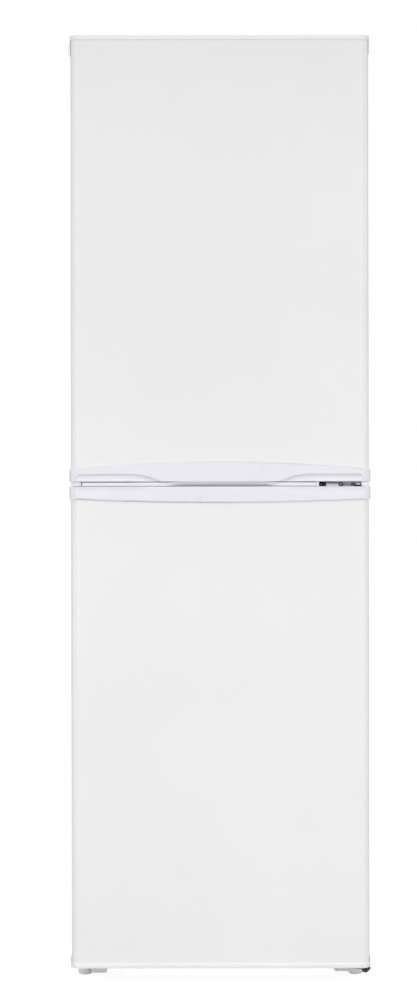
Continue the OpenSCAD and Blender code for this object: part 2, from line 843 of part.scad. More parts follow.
// A welded steel shell of two pressed halves on a foot plate
module compressor() {
    r = comp_shell_d / 2;
    h = comp_shell_h;
    corner = 34;
    color("black") difference() {
        union() {
            translate([comp_x, comp_y, comp_shell_z]) {
                rotate_extrude() {
                    square([r - corner, h]);
                    translate([0, corner]) square([r, h - 2 * corner]);
                    intersection() {
                        union() {
                            translate([r - corner, corner]) circle(corner);
                            translate([r - corner, h - corner]) circle(corner);
                        }
                        square([r, h]);
                    }
                    translate([0, comp_seam]) square([r + 3, 5]);
                }
            }
            along_z(comp_plate_z, comp_plate_z + comp_plate_t) {
                round_rect(comp_x - grommet_dx - 14, comp_x + grommet_dx + 14,
                    comp_y - grommet_dy - 14, comp_y + grommet_dy + 14, 12);
            }
            rod_x(stub_x, comp_x - r + 12, suction_y, suction_z, suction_d);
            rod_x(stub_x, comp_x - r + 12, discharge_y, discharge_z, tube_d);
        }
        at_grommets() rod_z(comp_plate_z - 1, comp_plate_z + 4, 0, 0, 14);
    }
}

module terminal_cover() {
    r = comp_shell_d / 2;
    z0 = comp_shell_z + 12;
    color("dimgray") difference() {
        union() {
            along_x(comp_x + r - 20, comp_x + r + 34)
                round_rect(comp_y - 34, comp_y + 34, z0, z0 + 66, 6);
            for (i = [-2:2]) {
                block(comp_x + r + 33, comp_x + r + 36, comp_y + i * 12 - 2, comp_y + i * 12 + 2, z0 + 12, z0 + 54);
            }
        }
        translate([comp_x, comp_y, 0]) rod_z(z0 - 1, z0 + 67, 0, 0, comp_shell_d + 6.6);
    }
}

// A quarter bend at corner p, from direction a to direction b
module elbow(p, a, b, r, d) {
    c = p - r * a + r * b;
    w = cross(-b, a);
    multmatrix([[-b.x, a.x, w.x, c.x], [-b.y, a.y, w.y, c.y], [-b.z, a.z, w.z, c.z], [0, 0, 0, 1]])
        rotate_extrude(angle = 90) translate([r, 0]) circle(d = d);
}

// A pipe along points that run parallel to X, Y or Z, with a bend of radius r at each corner
module pipe_route(points, d, r) {
    last = len(points) - 1;
    for (i = [0:last - 1]) {
        v = unit(points[i + 1] - points[i]);
        a = points[i] + (i == 0 ? 0 : r) * v;
        b = points[i + 1] - (i == last - 1 ? 0 : r) * v;
        translate(a) rotate([0, acos(v.z), atan2(v.y, v.x)]) cylinder(d = d, h = norm(b - a));
    }
    for (i = [1:last - 1]) {
        elbow(points[i], unit(points[i] - points[i - 1]), unit(points[i + 1] - points[i]), r, d);
    }
}

// The suction pipe, the discharge pipe and the capillary from the drier
module refrigerant_pipes() {
    x_suction = stub_x - suction_out;
    x_discharge = stub_x - discharge_out;
    capillary_z = crossing_z + 14;
    capillary_x = pipe_x - 6;
    color("peru") union() {
        pipe_route([[stub_x, suction_y, suction_z], [x_suction, suction_y, suction_z],
            [x_suction, y_pipe, suction_z], [x_suction, y_pipe, crossing_z], [pipe_x, y_pipe, crossing_z],
            [pipe_x, y_pipe, pipe_z], [pipe_x, y_back - 0.5, pipe_z]], suction_d, 11);
        pipe_route([[stub_x, discharge_y, discharge_z], [x_discharge, discharge_y, discharge_z],
            [x_discharge, y_tube, discharge_z], [x_discharge, y_tube, run_z(0)],
            [-x_run, y_tube, run_z(0)]], tube_d, 11);
        pipe_route([[-drop_x, y_drop, drier_z0], [-drop_x, y_drop, capillary_z],
            [capillary_x, y_drop, capillary_z], [capillary_x, y_drop, pipe_z],
            [capillary_x, y_back - 0.5, pipe_z]], capillary_d, 6);
    }
}

// The condenser's tube is one serpentine: runs joined by half rings
module condenser_tube() {
    z_top = run_z(runs - 1);
    color("black") union() {
        for (i = [0:runs - 1]) {
            rod_x(-x_run, x_run, y_tube, run_z(i), tube_d);
        }
        for (i = [0:runs - 2]) {
            side = i % 2 == 0 ? 1 : -1;
            translate([side * x_run, y_tube, run_z(i) + run_pitch / 2])
                rotate([90, 0, 0])
                rotate_extrude(angle = 180, start = side > 0 ? -90 : 90)
                translate([run_pitch / 2, 0]) circle(d = tube_d);
        }
        pipe_route([[-x_run, y_tube, z_top], [-drop_x, y_tube, z_top], [-drop_x, y_drop, z_top],
            [-drop_x, y_drop, drier_z1]], tube_d, 5);
    }
}

module condenser_wires() {
    z0 = run_z(0) - 16;
    z1 = run_z(runs - 1) + 16;
    off = tube_d / 2 + wire_gap + wire_d / 2;
    color("black") union() {
        for (i = [0:wires - 1]) {
            x = (i - (wires - 1) / 2) * wire_pitch;
            rod_z(z0, z1, x, y_tube - off, wire_d);
            rod_z(z0, z1, x, y_tube + off, wire_d);
        }
    }
}

// Moulded clips hold the condenser off the back panel
module condenser_clips() {
    color("dimgray") union() {
        for (s = [-1, 1]) {
            for (i = [1, runs - 3]) {
                difference() {
                    block(s * clip_x - 5, s * clip_x + 5, y_back, y_tube + tube_d / 2 - 0.5, run_z(i) - 7, run_z(i) + 7);
                    rod_x(s * clip_x - 6, s * clip_x + 6, y_tube, run_z(i), tube_d + 0.4);
                }
            }
        }
    }
}

// A copper can with necked ends, filled with drying beads
module filter_drier() {
    r = drier_d / 2;
    color("peru") translate([-drop_x, y_drop, drier_z0]) rotate_extrude() polygon([
        [0, 0], [3, 0], [r, 10], [r, drier_l - 10], [4, drier_l], [0, drier_l]]);
}

// A shallow tray on the compressor catches the defrost water
module evaporation_tray() {
    z0 = comp_shell_z + comp_shell_h;
    w = tray_w / 2;
    d = tray_d / 2;
    t = 2;
    color("dimgray") difference() {
        along_z(z0, z0 + tray_h) round_rect(comp_x - w, comp_x + w, comp_y - d, comp_y + d, 14);
        along_z(z0 + t, z0 + tray_h + 1)
            round_rect(comp_x - w + t, comp_x + w - t, comp_y - d + t, comp_y + d - t, 14 - t);
    }
}

module cable_gland() {
    z = comp_foot_z + 7;
    color("dimgray") difference() {
        union() {
            rod_y(y_back, y_back + 5, gland_x, z, 13);
            rod_y(y_back + 5, y_back + 16, gland_x, z, 10);
        }
        rod_y(y_back - 1, y_back + 17, gland_x, z, 6.6);
    }
}

// Fittings in the fridge

module thermostat_housing() {
    x1 = fridge_half;
    x_face = x1 - housing_d;
    color("white") difference() {
        union() {
            along_x(x_face, x1) round_rect(th_y0, th_y1, th_z0, th_z1, 12);
            rod_x(x_face - 2, x_face + 1, knob_y, knob_z, 46);
        }
        rod_x(x_face - 3, x_face + 12, knob_y, knob_z, 9);
        block(x_face - 1, x1 - 6, lamp_y0, lamp_y1, lamp_z0, lamp_z1);
        for (i = [0:4]) {
            z = th_z1 - 44 + i * 8;
            block(x_face - 3, x_face + 3, th_y0 + 14, lamp_y0 - 12, z, z + 3);
        }
    }
}

module thermostat_knob() {
    x1 = fridge_half - housing_d - 2.3;
    color("white") union() {
        difference() {
            rod_x(x1 - 12, x1, knob_y, knob_z, 34);
            for (a = [0:30:330]) {
                translate([0, knob_y, knob_z]) rotate([a, 0, 0]) translate([x1 - 13, 0, 17.6])
                    rotate([0, 90, 0]) cylinder(d = 3, h = 9);
            }
        }
        block(x1 - 15, x1 - 11, knob_y - 2.5, knob_y + 2.5, knob_z - 15, knob_z + 15);
        rod_x(x1 - 1, x1 + 10, knob_y, knob_z, 8);
    }
}

// A ribbed cover over the lamp
module lamp_lens() {
    x1 = fridge_half - housing_d;
    fit = lamp_fit;
    wall = lamp_fit + 2;
    color("white") union() {
        difference() {
            block(x1 - 4, x1 + 12, lamp_y0 + fit, lamp_y1 - fit, lamp_z0 + fit, lamp_z1 - fit);
            block(x1 - 2, x1 + 13, lamp_y0 + wall, lamp_y1 - wall, lamp_z0 + wall, lamp_z1 - wall);
        }
        for (y = [lamp_y0 + 5:9:lamp_y1 - 8]) {
            block(x1 - 5.5, x1 - 3.9, y, y + 3, lamp_z0 + 4, lamp_z1 - 4);
        }
    }
}

module shelf_pane(z) {
    block(-fridge_half + 2, fridge_half - 2, y_shelf + 6, y_liner - 24, z, z + glass_t);
}

module shelf_glass() {
    color("lightcyan", 0.5) for (z = shelf_z) {
        shelf_pane(z);
    }
}

module crisper_cover_glass() {
    color("lightcyan", 0.5) shelf_pane(cover_z);
}

// Front and rear trims grip each pane
module shelf_trims() {
    color("white") for (z = concat([cover_z], shelf_z)) {
        difference() {
            union() {
                along_x(-fridge_half + ledge_w + 1, fridge_half - ledge_w - 1)
                    round_rect(y_shelf, y_shelf + 18, z - 5, z + glass_t + 3, 2.5);
                along_x(-fridge_half + ledge_w + 1, fridge_half - ledge_w - 1) {
                    translate([y_liner - 34, z - 3]) square([14, glass_t + 6]);
                    translate([y_liner - 24, z - 3]) square([4, glass_t + 18]);
                }
            }
            shelf_pane(z);
        }
    }
}

// A rectangle whose two lower corners are rounded, as seen from the front
module bin_section(x0, x1, z0, z1, r) {
    translate([x0 + r, z0]) square([x1 - x0 - 2 * r, z1 - z0]);
    translate([x0, z0 + r]) square([x1 - x0, z1 - z0 - r]);
    for (x = [x0 + r, x1 - r]) {
        translate([x, z0 + r]) circle(r);
    }
}

// An open bin whose front leans a little, with a grip under its front edge
module crisper() {
    h = crisper_h;
    y0 = y_shelf + 2;
    y1 = y_liner - 22;
    t = bin_t;
    lean = 6;
    difference() {
        intersection() {
            along_x(0, crisper_w) polygon([[y0 + lean, 0], [y1 - 10, 0], [y1, 14], [y1, h - 6], [y0, h], [y0, 30]]);
            along_z(0, h) round_rect(0, crisper_w, y0, y1, 9);
            along_y(y0, y1) bin_section(0, crisper_w, 0, h, liner_r);
        }
        intersection() {
            along_x(t, crisper_w - t) polygon([[y0 + lean + 12, t], [y1 - 10 - t, t], [y1 - t, 14 + t],
                [y1 - t, h + 1], [y0 + 12, h + 1], [y0 + 12, 30]]);
            along_z(t, h + 1) round_rect(t, crisper_w - t, y0 + 12, y1 - t, 7);
            along_y(y0, y1) bin_section(t, crisper_w - t, t, h + 1, liner_r - t);
        }
        along_z(h - 34, h - 12) round_rect(crisper_w / 2 - 60, crisper_w / 2 + 60, y0 - 20, y0 + 9, 6);
    }
}

module crisper_left() {
    color("aliceblue", 0.6) translate([-bin_clear / 2 - crisper_w, 0, fridge_z0 + 0.5]) crisper();
}

module crisper_right() {
    color("aliceblue", 0.6) translate([bin_clear / 2, 0, fridge_z0 + 0.5]) crisper();
}

// Fittings in the freezer

// Each evaporator level is a plate with the tube brazed under it
module evaporator_shelves() {
    half = freezer_half - ledge_w - 14;
    y0 = y_cab + 60;
    pitch = (y_liner - 44 - y0) / 6;
    color("gainsboro") for (i = [1:3]) {
        z = evap_z(i);
        zt = z - evap_tube / 2 + 0.4;
        union() {
            block(-freezer_half + 1, freezer_half - 1, y_cab + 42, y_liner - 14, z, z + evap_t);
            for (j = [0:6]) {
                rod_x(-half + pitch / 2, half - pitch / 2, y0 + j * pitch, zt, evap_tube);
            }
            for (j = [0:5]) {
                s = j % 2 == 0 ? 1 : -1;
                translate([s * (half - pitch / 2), y0 + (j + 0.5) * pitch, zt])
                    rotate_extrude(angle = 180, start = s > 0 ? -90 : 90)
                    translate([pitch / 2, 0]) circle(d = evap_tube);
            }
        }
    }
}

// A bin with a moulded front that has a grip pocket; depth reaches to y1
module freezer_drawer(level, y1) {
    z0 = freezer_z0 + level * level_h + (level == 0 ? 0.5 : evap_t + 0.5);
    h = drawer_h;
    y0 = drawer_y0;
    front_t = 16;
    t = bin_t;
    half = drawer_half;
    body_half = half - 2;
    translate([0, 0, z0]) difference() {
        union() {
            along_y(y0, y0 + front_t) bin_section(-half, half, 0, h - 8, liner_r);
            along_y(y0, y0 + front_t) round_rect(-half, half, h / 2, h, 8);
            intersection() {
                along_x(-body_half, body_half) polygon([[y0 + front_t - 1, 0], [y1 - 16, 0], [y1, 20],
                    [y1, h - 30], [y0 + front_t - 1, h - 10]]);
                along_z(0, h) round_rect(-body_half, body_half, y0 + 2, y1, 12);
                along_y(y0, y1) bin_section(-body_half, body_half, 0, h, liner_r);
            }
        }
        intersection() {
            along_x(-body_half + t, body_half - t) polygon([[y0 + front_t, t], [y1 - 16 - t, t], [y1 - t, 20],
                [y1 - t, h + 1], [y0 + front_t, h + 1]]);
            along_z(t, h + 1) round_rect(-body_half + t, body_half - t, y0 + front_t - 12, y1 - t, 10);
            along_y(y0, y1) bin_section(-body_half + t, body_half - t, t, h + 1, liner_r - t);
        }
        along_y(y0 - 1, y0 + front_t - t) round_rect(-90, 90, h - 46, h - 16, 12);
        along_y(y0 - 1, y0 + 2) round_rect(-half + 18, half - 18, 18, h - 56, 8);
    }
}

module freezer_drawer_1() {
    color("aliceblue") freezer_drawer(0, y_step - 6);
}

module freezer_drawer_2() {
    color("aliceblue") freezer_drawer(1, y_liner - 16);
}

module freezer_drawer_3() {
    color("aliceblue") freezer_drawer(2, y_liner - 16);
}

module freezer_drawer_4() {
    color("aliceblue") freezer_drawer(3, y_liner - 16);
}

// Doors

module door_outline(grow) {
    front_round_rect(x_cab + grow, y_face - grow, y_rear, skin_r + grow);
}

// A sheet bent round the front and both sides, open behind
module door_skin(z0, z1) {
    along_z(z0, z1) difference() {
        door_outline(0);
        front_round_rect(x_cab - steel_t, y_face + steel_t, y_rear + 1, skin_r - steel_t);
    }
}

// The foam core between the skin and the inner liner
module door_foam(z0, z1) {
    along_z(z0, z1)
        front_round_rect(x_cab - steel_t, y_face + steel_t, y_rear - liner_t, skin_r - steel_t);
}

// The seat of a bush: a blind hole from z0 up or down to z1
module bush_hole(z0, z1) {
    rod_z(min(z0, z1), max(z0, z1), x_hinge, y_hinge, bush_d + screw_fit);
}

// A bush with a flange that takes up the gap to the hinge plate
module bush(z_door, z_plate_face, dir) {
    flange = abs(z_plate_face - z_door) - seat_gap;
    translate([x_hinge, y_hinge, z_door]) mirror([0, 0, dir > 0 ? 0 : 1]) difference() {
        union() {
            cylinder(d = bush_d, h = bush_l);
            translate([0, 0, -flange]) cylinder(d = bush_d + 6, h = flange);
        }
        translate([0, 0, -flange - 1]) cylinder(d = pin_d + 2 * pin_clear, h = flange + 1 + bush_l - 2);
    }
}

module end_cap(z_out, z_in, dir) {
    rim = 14;
    z_rim = z_in - dir * rim;
    difference() {
        union() {
            along_z(min(z_out, z_in), max(z_out, z_in)) door_outline(cap_proud);
            along_z(min(z_rim, z_in), max(z_rim, z_in)) difference() {
                front_round_rect(x_cab - steel_t, y_face + steel_t, y_rear - liner_t, skin_r - steel_t);
                front_round_rect(x_cab - steel_t - 3, y_face + steel_t + 3, y_rear - liner_t - 3, skin_r - 4);
                translate([x_hinge, y_hinge]) circle(d = bush_d + 6);
            }
            along_z(min(z_rim, z_in), max(z_rim, z_in)) translate([x_hinge - 10, y_hinge - 12]) square([20, 24]);
        }
        bush_hole(z_out + dir, z_out - dir * bush_l);
    }
}

// A side lug that clasps the skin next to an end cap
module cap_lug(side, proud, z_cap, z_end) {
    dir = sign(z_end - z_cap);
    root = cap_proud * 0.3;
    mirror([side > 0 ? 0 : 1, 0, 0]) along_y(y_face + 9, y_face + 34)
        polygon([[x_cab, z_cap - dir], [x_cab + root, z_cap - dir], [x_cab + root, z_cap],
            [x_cab + 2 * root, z_cap], [x_cab + proud, z_cap + dir * 5],
            [x_cab + proud, z_end - dir * 5], [x_cab + proud * 0.7, z_end - dir * 2], [x_cab, z_end]]);
}

module upper_door_skin() {
    color("whitesmoke") door_skin(upper_skin_z, upper_top - cap_t);
}

module upper_door_top_cap() {
    z1 = upper_top - cap_t;
    color("white") union() {
        end_cap(upper_top, z1, 1);
        cap_lug(-1, trim_side, z1, z1 - lug_h);
        cap_lug(1, cap_proud, z1, z1 - lug_h);
    }
}

// The long rounded edge of a trim is part of a large ring, and h is the ring's width
module trim_ring(r, h) {
    sweep = 2 * asin((x_trim + 8) / r);
    rotate([90, 0, 0])
        rotate_extrude(angle = sweep, start = 90 - sweep / 2, $fn = 720)
        translate([r - h, -y_rear]) {
            square([h, y_rear - y_front - trim_edge_r]);
            square([h - trim_edge_r, y_rear - y_front]);
            translate([h - trim_edge_r, y_rear - y_front - trim_edge_r]) circle(trim_edge_r, $fn = 32);
        }
}

// A finger scoop: a hollow of radius r along the lip, which curves out at the gap
module scoop(r, h) {
    y_c = y_front + lip_back / 2 - centre_off(r, norm([h, lip_back]));
    z_c = h / 2;
    x0 = x_cab - scoop_start;
    x1 = x0 - scoop_straight;
    turn = acos(1 - (h + 4) / scoop_curve_r);
    for (s = [0, 1]) {
        mirror([s, 0, 0]) {
            rod_x(x1, x0, y_c, z_c, 2 * r);
            translate([x0, y_c, z_c]) sphere(r);
            translate([x1, y_c, z_c - scoop_curve_r])
                rotate([90, 0, 0])
                rotate_extrude(angle = turn, start = 90, $fn = 180)
                translate([scoop_curve_r, 0]) circle(r, $fn = 64);
        }
    }
}

// The pockets behind the lips, for the finger tips
module finger_pockets(h) {
    y0 = y_front + lip_back + lip_t;
    for (s = [0, 1]) {
        mirror([s, 0, 0]) along_z(-1, h)
            round_rect(x_cab - scoop_start - scoop_straight - 20, x_cab - scoop_start - 34, y0, y0 + pocket_d, 10);
    }
}

module trim_outline() {
    front_round_rect(x_trim, y_front, y_rear, skin_r + trim_side);
}

module upper_door_handle() {
    rise = upper_trim_mid_h - upper_trim_end_h;
    r = arch_radius(x_trim, rise);
    color("ghostwhite") difference() {
        intersection() {
            translate([0, 0, upper_z + upper_trim_mid_h - r]) trim_ring(r, 60);
            along_z(upper_z, upper_z + 60) trim_outline();
        }
        along_z(upper_skin_z, upper_z + 61) door_outline(0);
        translate([0, 0, upper_z]) {
            scoop(scoop_r, scoop_h);
            finger_pockets(pocket_h);
        }
        bush_hole(upper_z - 1, upper_z + bush_l);
    }
}

module lower_door_handle() {
    rise = lower_trim_mid_h - lower_trim_end_h;
    r = arch_radius(x_trim, rise);
    color("ghostwhite") difference() {
        intersection() {
            translate([0, 0, lower_top - lower_trim_mid_h + r]) mirror([0, 0, 1]) trim_ring(r, 60);
            along_z(lower_top - 60, lower_top) trim_outline();
        }
        along_z(lower_top - 61, lower_skin_z) door_outline(0);
        translate([0, 0, lower_top]) mirror([0, 0, 1]) {
            scoop(low_scoop_r, low_scoop_h);
            finger_pockets(pocket_h);
        }
        bush_hole(lower_top + 1, lower_top - bush_l);
    }
}

module upper_door_foam() {
    color("khaki") difference() {
        door_foam(upper_skin_z, upper_top - cap_t);
        along_z(upper_top - cap_t - 14, upper_top) square([2 * cab_w, 2 * overall_d], center = true);
        bush_hole(upper_z, upper_z + bush_l + 1);
        bush_hole(upper_top - cap_t - 15, upper_top - bush_l - 1);
    }
}

module lower_door_foam() {
    color("khaki") difference() {
        door_foam(door_z + cap_t + 14, lower_skin_z);
        bush_hole(lower_top, lower_top - bush_l - 1);
        bush_hole(door_z, door_z + bush_l + 1);
    }
}

module lower_door_skin() {
    color("whitesmoke") door_skin(door_z + cap_t, lower_skin_z);
}

module lower_door_bottom_cap() {
    z1 = door_z + cap_t;
    color("white") union() {
        end_cap(door_z, z1, -1);
        cap_lug(-1, 2, z1, z1 + 11);
        cap_lug(1, 2, z1, z1 + 11);
    }
}

module ring_profile(half, z0, z1, w, r) {
    difference() {
        round_rect(-half, half, z0, z1, r);
        round_rect(-half + w, half - w, z0 + w, z1 - w, max(r - w, 2));
    }
}

// The inner liner is a panel with a raised frame that carries the door shelves
module upper_door_liner() {
    color("white") union() {
        block(-x_cab + steel_t, x_cab - steel_t, y_rear - liner_t, y_rear, upper_skin_z, upper_top - cap_t - 0.5);
        along_y(y_rear - eps, y_rear + dyke_d) ring_profile(x_dyke, dyke_z0, dyke_z1, dyke_w, 12);
        for (z = balcony_z) {
            for (s = [0, 1]) {
                mirror([s, 0, 0]) block(balcony_half - lug_w + 0.5, balcony_half + 1, y_rear - eps, y_rear + dyke_d - 4, z - 7, z);
            }
        }
    }
}

module lower_door_liner() {
    z0 = freezer_z0 + 10;
    z1 = freezer_z1 - 10;
    color("white") union() {
        block(-x_cab + steel_t, x_cab - steel_t, y_rear - liner_t, y_rear, door_z + cap_t + 0.5, lower_skin_z);
        along_y(y_rear - eps, y_rear + frz_dyke_d) ring_profile(x_frz_dyke, z0, z1, dyke_w, 12);
        for (i = [1:3]) {
            along_y(y_rear - eps, y_rear + 4)
                round_rect(-x_frz_dyke + 40, x_frz_dyke - 40, evap_z(i) - 7, evap_z(i) + 7, 6);
        }
    }
}

// A gasket has a base, a soft bellows and a magnet bar that meets the cabinet
module gasket(z0, z1) {
    w = gasket_w;
    half = x_gasket;
    t = gasket_t - gasket_clear;
    along_y(y_rear, y_rear + 3) ring_profile(half, z0, z1, w, 6);
    along_y(y_rear + 3, y_rear + t - 3.5) ring_profile(half - 3, z0 + 3, z1 - 3, w - 6, 4);
    along_y(y_rear + t - 3.5, y_rear + t) ring_profile(half - 1, z0 + 1, z1 - 1, w - 2, 5);
}

module upper_door_gasket() {
    color("whitesmoke") gasket(upper_z + gasket_inset, upper_top - gasket_inset);
}

module lower_door_gasket() {
    color("whitesmoke") gasket(door_z + gasket_inset, lower_top - gasket_inset);
}

module upper_door_bushes() {
    color("dimgray") union() {
        bush(upper_z, z_plate + plate_t, 1);
        bush(upper_top, body_top, -1);
    }
}

module lower_door_bushes() {
    color("dimgray") union() {
        bush(lower_top, z_plate, -1);
        bush(door_z, base_z, 1);
    }
}

// A door shelf: an open bin with a low, curved front
module balcony(z, h) {
    t = 2.5;
    y0 = balcony_y0;
    y1 = balcony_y1;
    b = balcony_half;
    difference() {
        along_x(-b, b) {
            translate([y0, z]) square([y1 - y0 - 14, h]);
            translate([y0, z + 14]) square([y1 - y0, h - 14]);
            translate([y1 - 14, z + 14]) circle(14);
            translate([y0, z]) square([22, h + 12]);
        }
        along_x(-b + t, b - t) {
            translate([y0 + t, z + t]) square([y1 - y0 - t - 14, h + 20]);
            translate([y0 + t, z + 14]) square([y1 - y0 - 2 * t, h + 20]);
            translate([y1 - 14, z + 14]) circle(14 - t);
        }
        along_x(-b + 30, b - 30) round_rect(y1 - 5, y1 + 5, z + 26, z + h - 16, 4);
    }
}

module door_shelves() {
    color("aliceblue", 0.6) for (i = [0:2]) {
        balcony(balcony_z[i], balcony_h[i]);
    }
}

side_panel_left();
side_panel_right();
worktop();
back_panel();
bottom_pan();
insulation();
fridge_liner();
freezer_liner();
front_rails();
top_hinge();
middle_hinge();
bottom_hinge();
bottom_hinge_clip();
hinge_screws();
gap_blanking_plug();
gap_strip();
support_bracket_left();
foot_left();
foot_right();
roller_left();
roller_right();
compressor_base();
compressor();
compressor_grommets();
terminal_cover();
refrigerant_pipes();
filter_drier();
condenser_tube();
condenser_wires();
condenser_clips();
evaporation_tray();
cable_gland();
thermostat_housing();
thermostat_knob();
lamp_lens();
evaporator_shelves();
shelf_glass();
crisper_cover_glass();
shelf_trims();
crisper_left();
crisper_right();
freezer_drawer_1();
freezer_drawer_2();
freezer_drawer_3();
freezer_drawer_4();
upper_door_skin();
upper_door_top_cap();
upper_door_handle();
upper_door_foam();
upper_door_liner();
upper_door_gasket();
upper_door_bushes();
door_shelves();
lower_door_skin();
lower_door_handle();
lower_door_bottom_cap();
lower_door_foam();
lower_door_liner();
lower_door_gasket();
lower_door_bushes();
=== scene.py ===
import math
import bpy
import bmesh
from mathutils import Matrix, Vector


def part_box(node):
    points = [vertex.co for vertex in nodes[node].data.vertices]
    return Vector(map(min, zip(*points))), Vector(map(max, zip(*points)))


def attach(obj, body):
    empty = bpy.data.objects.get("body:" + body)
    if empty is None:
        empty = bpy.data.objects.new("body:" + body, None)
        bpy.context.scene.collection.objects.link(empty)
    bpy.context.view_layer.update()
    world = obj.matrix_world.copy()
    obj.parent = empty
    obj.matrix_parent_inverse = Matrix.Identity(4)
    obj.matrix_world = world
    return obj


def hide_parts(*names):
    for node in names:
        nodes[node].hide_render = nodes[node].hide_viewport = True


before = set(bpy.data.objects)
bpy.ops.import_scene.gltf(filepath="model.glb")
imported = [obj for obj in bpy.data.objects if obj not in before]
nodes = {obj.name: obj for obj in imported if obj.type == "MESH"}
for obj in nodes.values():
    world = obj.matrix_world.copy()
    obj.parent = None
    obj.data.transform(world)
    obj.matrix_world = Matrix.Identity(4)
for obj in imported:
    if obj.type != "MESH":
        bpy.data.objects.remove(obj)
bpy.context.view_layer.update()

scene = bpy.context.scene
mm = 0.001


def linear(hexColour):  # sRGB hex to the linear values that Blender works in
    channels = [int(hexColour[i:i + 2], 16) / 255 for i in (1, 3, 5)]
    return tuple(c / 12.92 if c <= 0.04045 else ((c + 0.055) / 1.055) ** 2.4 for c in channels) + (1.0,)


def addNode(tree, kind, inputs=None, out=0, stops=(), **settings):  # links sockets, sets other values
    node = tree.nodes.new("ShaderNode" + kind)
    for name, value in settings.items():
        setattr(node, name, value)
    for name, value in (inputs or {}).items():
        if isinstance(value, bpy.types.NodeSocket):
            tree.links.new(value, node.inputs[name])
        else:
            node.inputs[name].default_value = value
    for i, (place, colour) in enumerate(stops):
        node.color_ramp.elements[i].position = place
        node.color_ramp.elements[i].color = linear(colour)
    return node.outputs[out] if len(node.outputs) else node


def newMaterial(name):
    material = bpy.data.materials.new(name)
    material.use_nodes = True
    tree = material.node_tree
    tree.nodes.clear()
    return material, tree, addNode(tree, "TexCoord", out="Object")


# Injection-moulded plastic: a fine grain from the tool, and a slow drift of tone and gloss from its cooling
def mouldedPlastic(name, light, dark, grainMm=1.2, depthMm=0.006, gloss=(0.3, 0.4), driftMm=60):
    material, tree, place = newMaterial(name)
    drift = addNode(tree, "TexNoise", {"Vector": place, "Scale": 1 / (driftMm * mm), "Detail": 3.0})
    grain = addNode(tree, "TexNoise", {"Vector": place, "Scale": 1 / (grainMm * mm), "Detail": 2.0})
    shader = addNode(tree, "BsdfPrincipled", {
        "Base Color": addNode(tree, "ValToRGB", {"Fac": drift}, stops=((0.35, dark), (0.65, light))),
        "Roughness": addNode(tree, "MapRange", {"Value": drift, "To Min": gloss[0], "To Max": gloss[1]}),
        "Normal": addNode(tree, "Bump", {"Height": grain, "Distance": depthMm * mm}),
        "IOR": 1.53})
    addNode(tree, "OutputMaterial", {"Surface": shader})
    return material


# Coil-coated steel: enamel laid on by rollers, so an even gloss over a faint orange peel
def coatedSteel(name, light, dark, peelMm=5.0, depthMm=0.004, gloss=(0.13, 0.18), driftMm=420):
    material, tree, place = newMaterial(name)
    drift = addNode(tree, "TexNoise", {"Vector": place, "Scale": 1 / (driftMm * mm), "Detail": 3.0})
    peel = addNode(tree, "TexNoise", {"Vector": place, "Scale": 1 / (peelMm * mm), "Detail": 1.0})
    shader = addNode(tree, "BsdfPrincipled", {
        "Base Color": addNode(tree, "ValToRGB", {"Fac": drift}, stops=((0.35, dark), (0.65, light))),
        "Roughness": addNode(tree, "MapRange", {"Value": peel, "To Min": gloss[0], "To Max": gloss[1]}),
        "Normal": addNode(tree, "Bump", {"Height": peel, "Distance": depthMm * mm}),
        "IOR": 1.45, "Specular IOR Level": 0.45})
    addNode(tree, "OutputMaterial", {"Surface": shader})
    return material


# Galvanised sheet: hot-dipped, so zinc crystals of about 12 mm shine each at its own gloss, with faint runs
def galvanisedSheet(name, spangleMm=12, runMm=3):
    material, tree, place = newMaterial(name)
    crystals = addNode(tree, "TexVoronoi", {"Vector": place, "Scale": 1 / (spangleMm * mm)}, out="Color")
    tone = addNode(tree, "SeparateColor", {"Color": crystals})
    drawn = addNode(tree, "Mapping", {"Vector": place, "Scale": (1, 1, 0.15)})
    runs = addNode(tree, "TexNoise", {"Vector": drawn, "Scale": 1 / (runMm * mm), "Detail": 3.0})
    shader = addNode(tree, "BsdfPrincipled", {
        "Base Color": addNode(tree, "ValToRGB", {"Fac": tone}, stops=((0.1, "#A9AEB1"), (0.9, "#C3C7C9"))),
        "Roughness": addNode(tree, "MapRange", {"Value": tone, "To Min": 0.36, "To Max": 0.52}),
        "Normal": addNode(tree, "Bump", {"Height": runs, "Distance": 0.01 * mm}),
        "Metallic": 1.0})
    addNode(tree, "OutputMaterial", {"Surface": shader})
    return material


# Pressed, drawn or rolled metal: fine lines along the work, and patches of handling
def workedMetal(name, light, dark, gloss=(0.25, 0.4), lineMm=0.8, stretch=(1, 1, 6), depthMm=0.004,
                patchMm=25):
    material, tree, place = newMaterial(name)
    drawn = addNode(tree, "Mapping", {"Vector": place, "Scale": stretch})
    lines = addNode(tree, "TexNoise", {"Vector": drawn, "Scale": 1 / (lineMm * mm), "Detail": 2.0})
    patches = addNode(tree, "TexNoise", {"Vector": place, "Scale": 1 / (patchMm * mm), "Detail": 3.0})
    shader = addNode(tree, "BsdfPrincipled", {
        "Base Color": addNode(tree, "ValToRGB", {"Fac": patches}, stops=((0.35, dark), (0.65, light))),
        "Roughness": addNode(tree, "MapRange", {"Value": patches, "To Min": gloss[0], "To Max": gloss[1]}),
        "Normal": addNode(tree, "Bump", {"Height": lines, "Distance": depthMm * mm}),
        "Metallic": 1.0})
    addNode(tree, "OutputMaterial", {"Surface": shader})
    return material


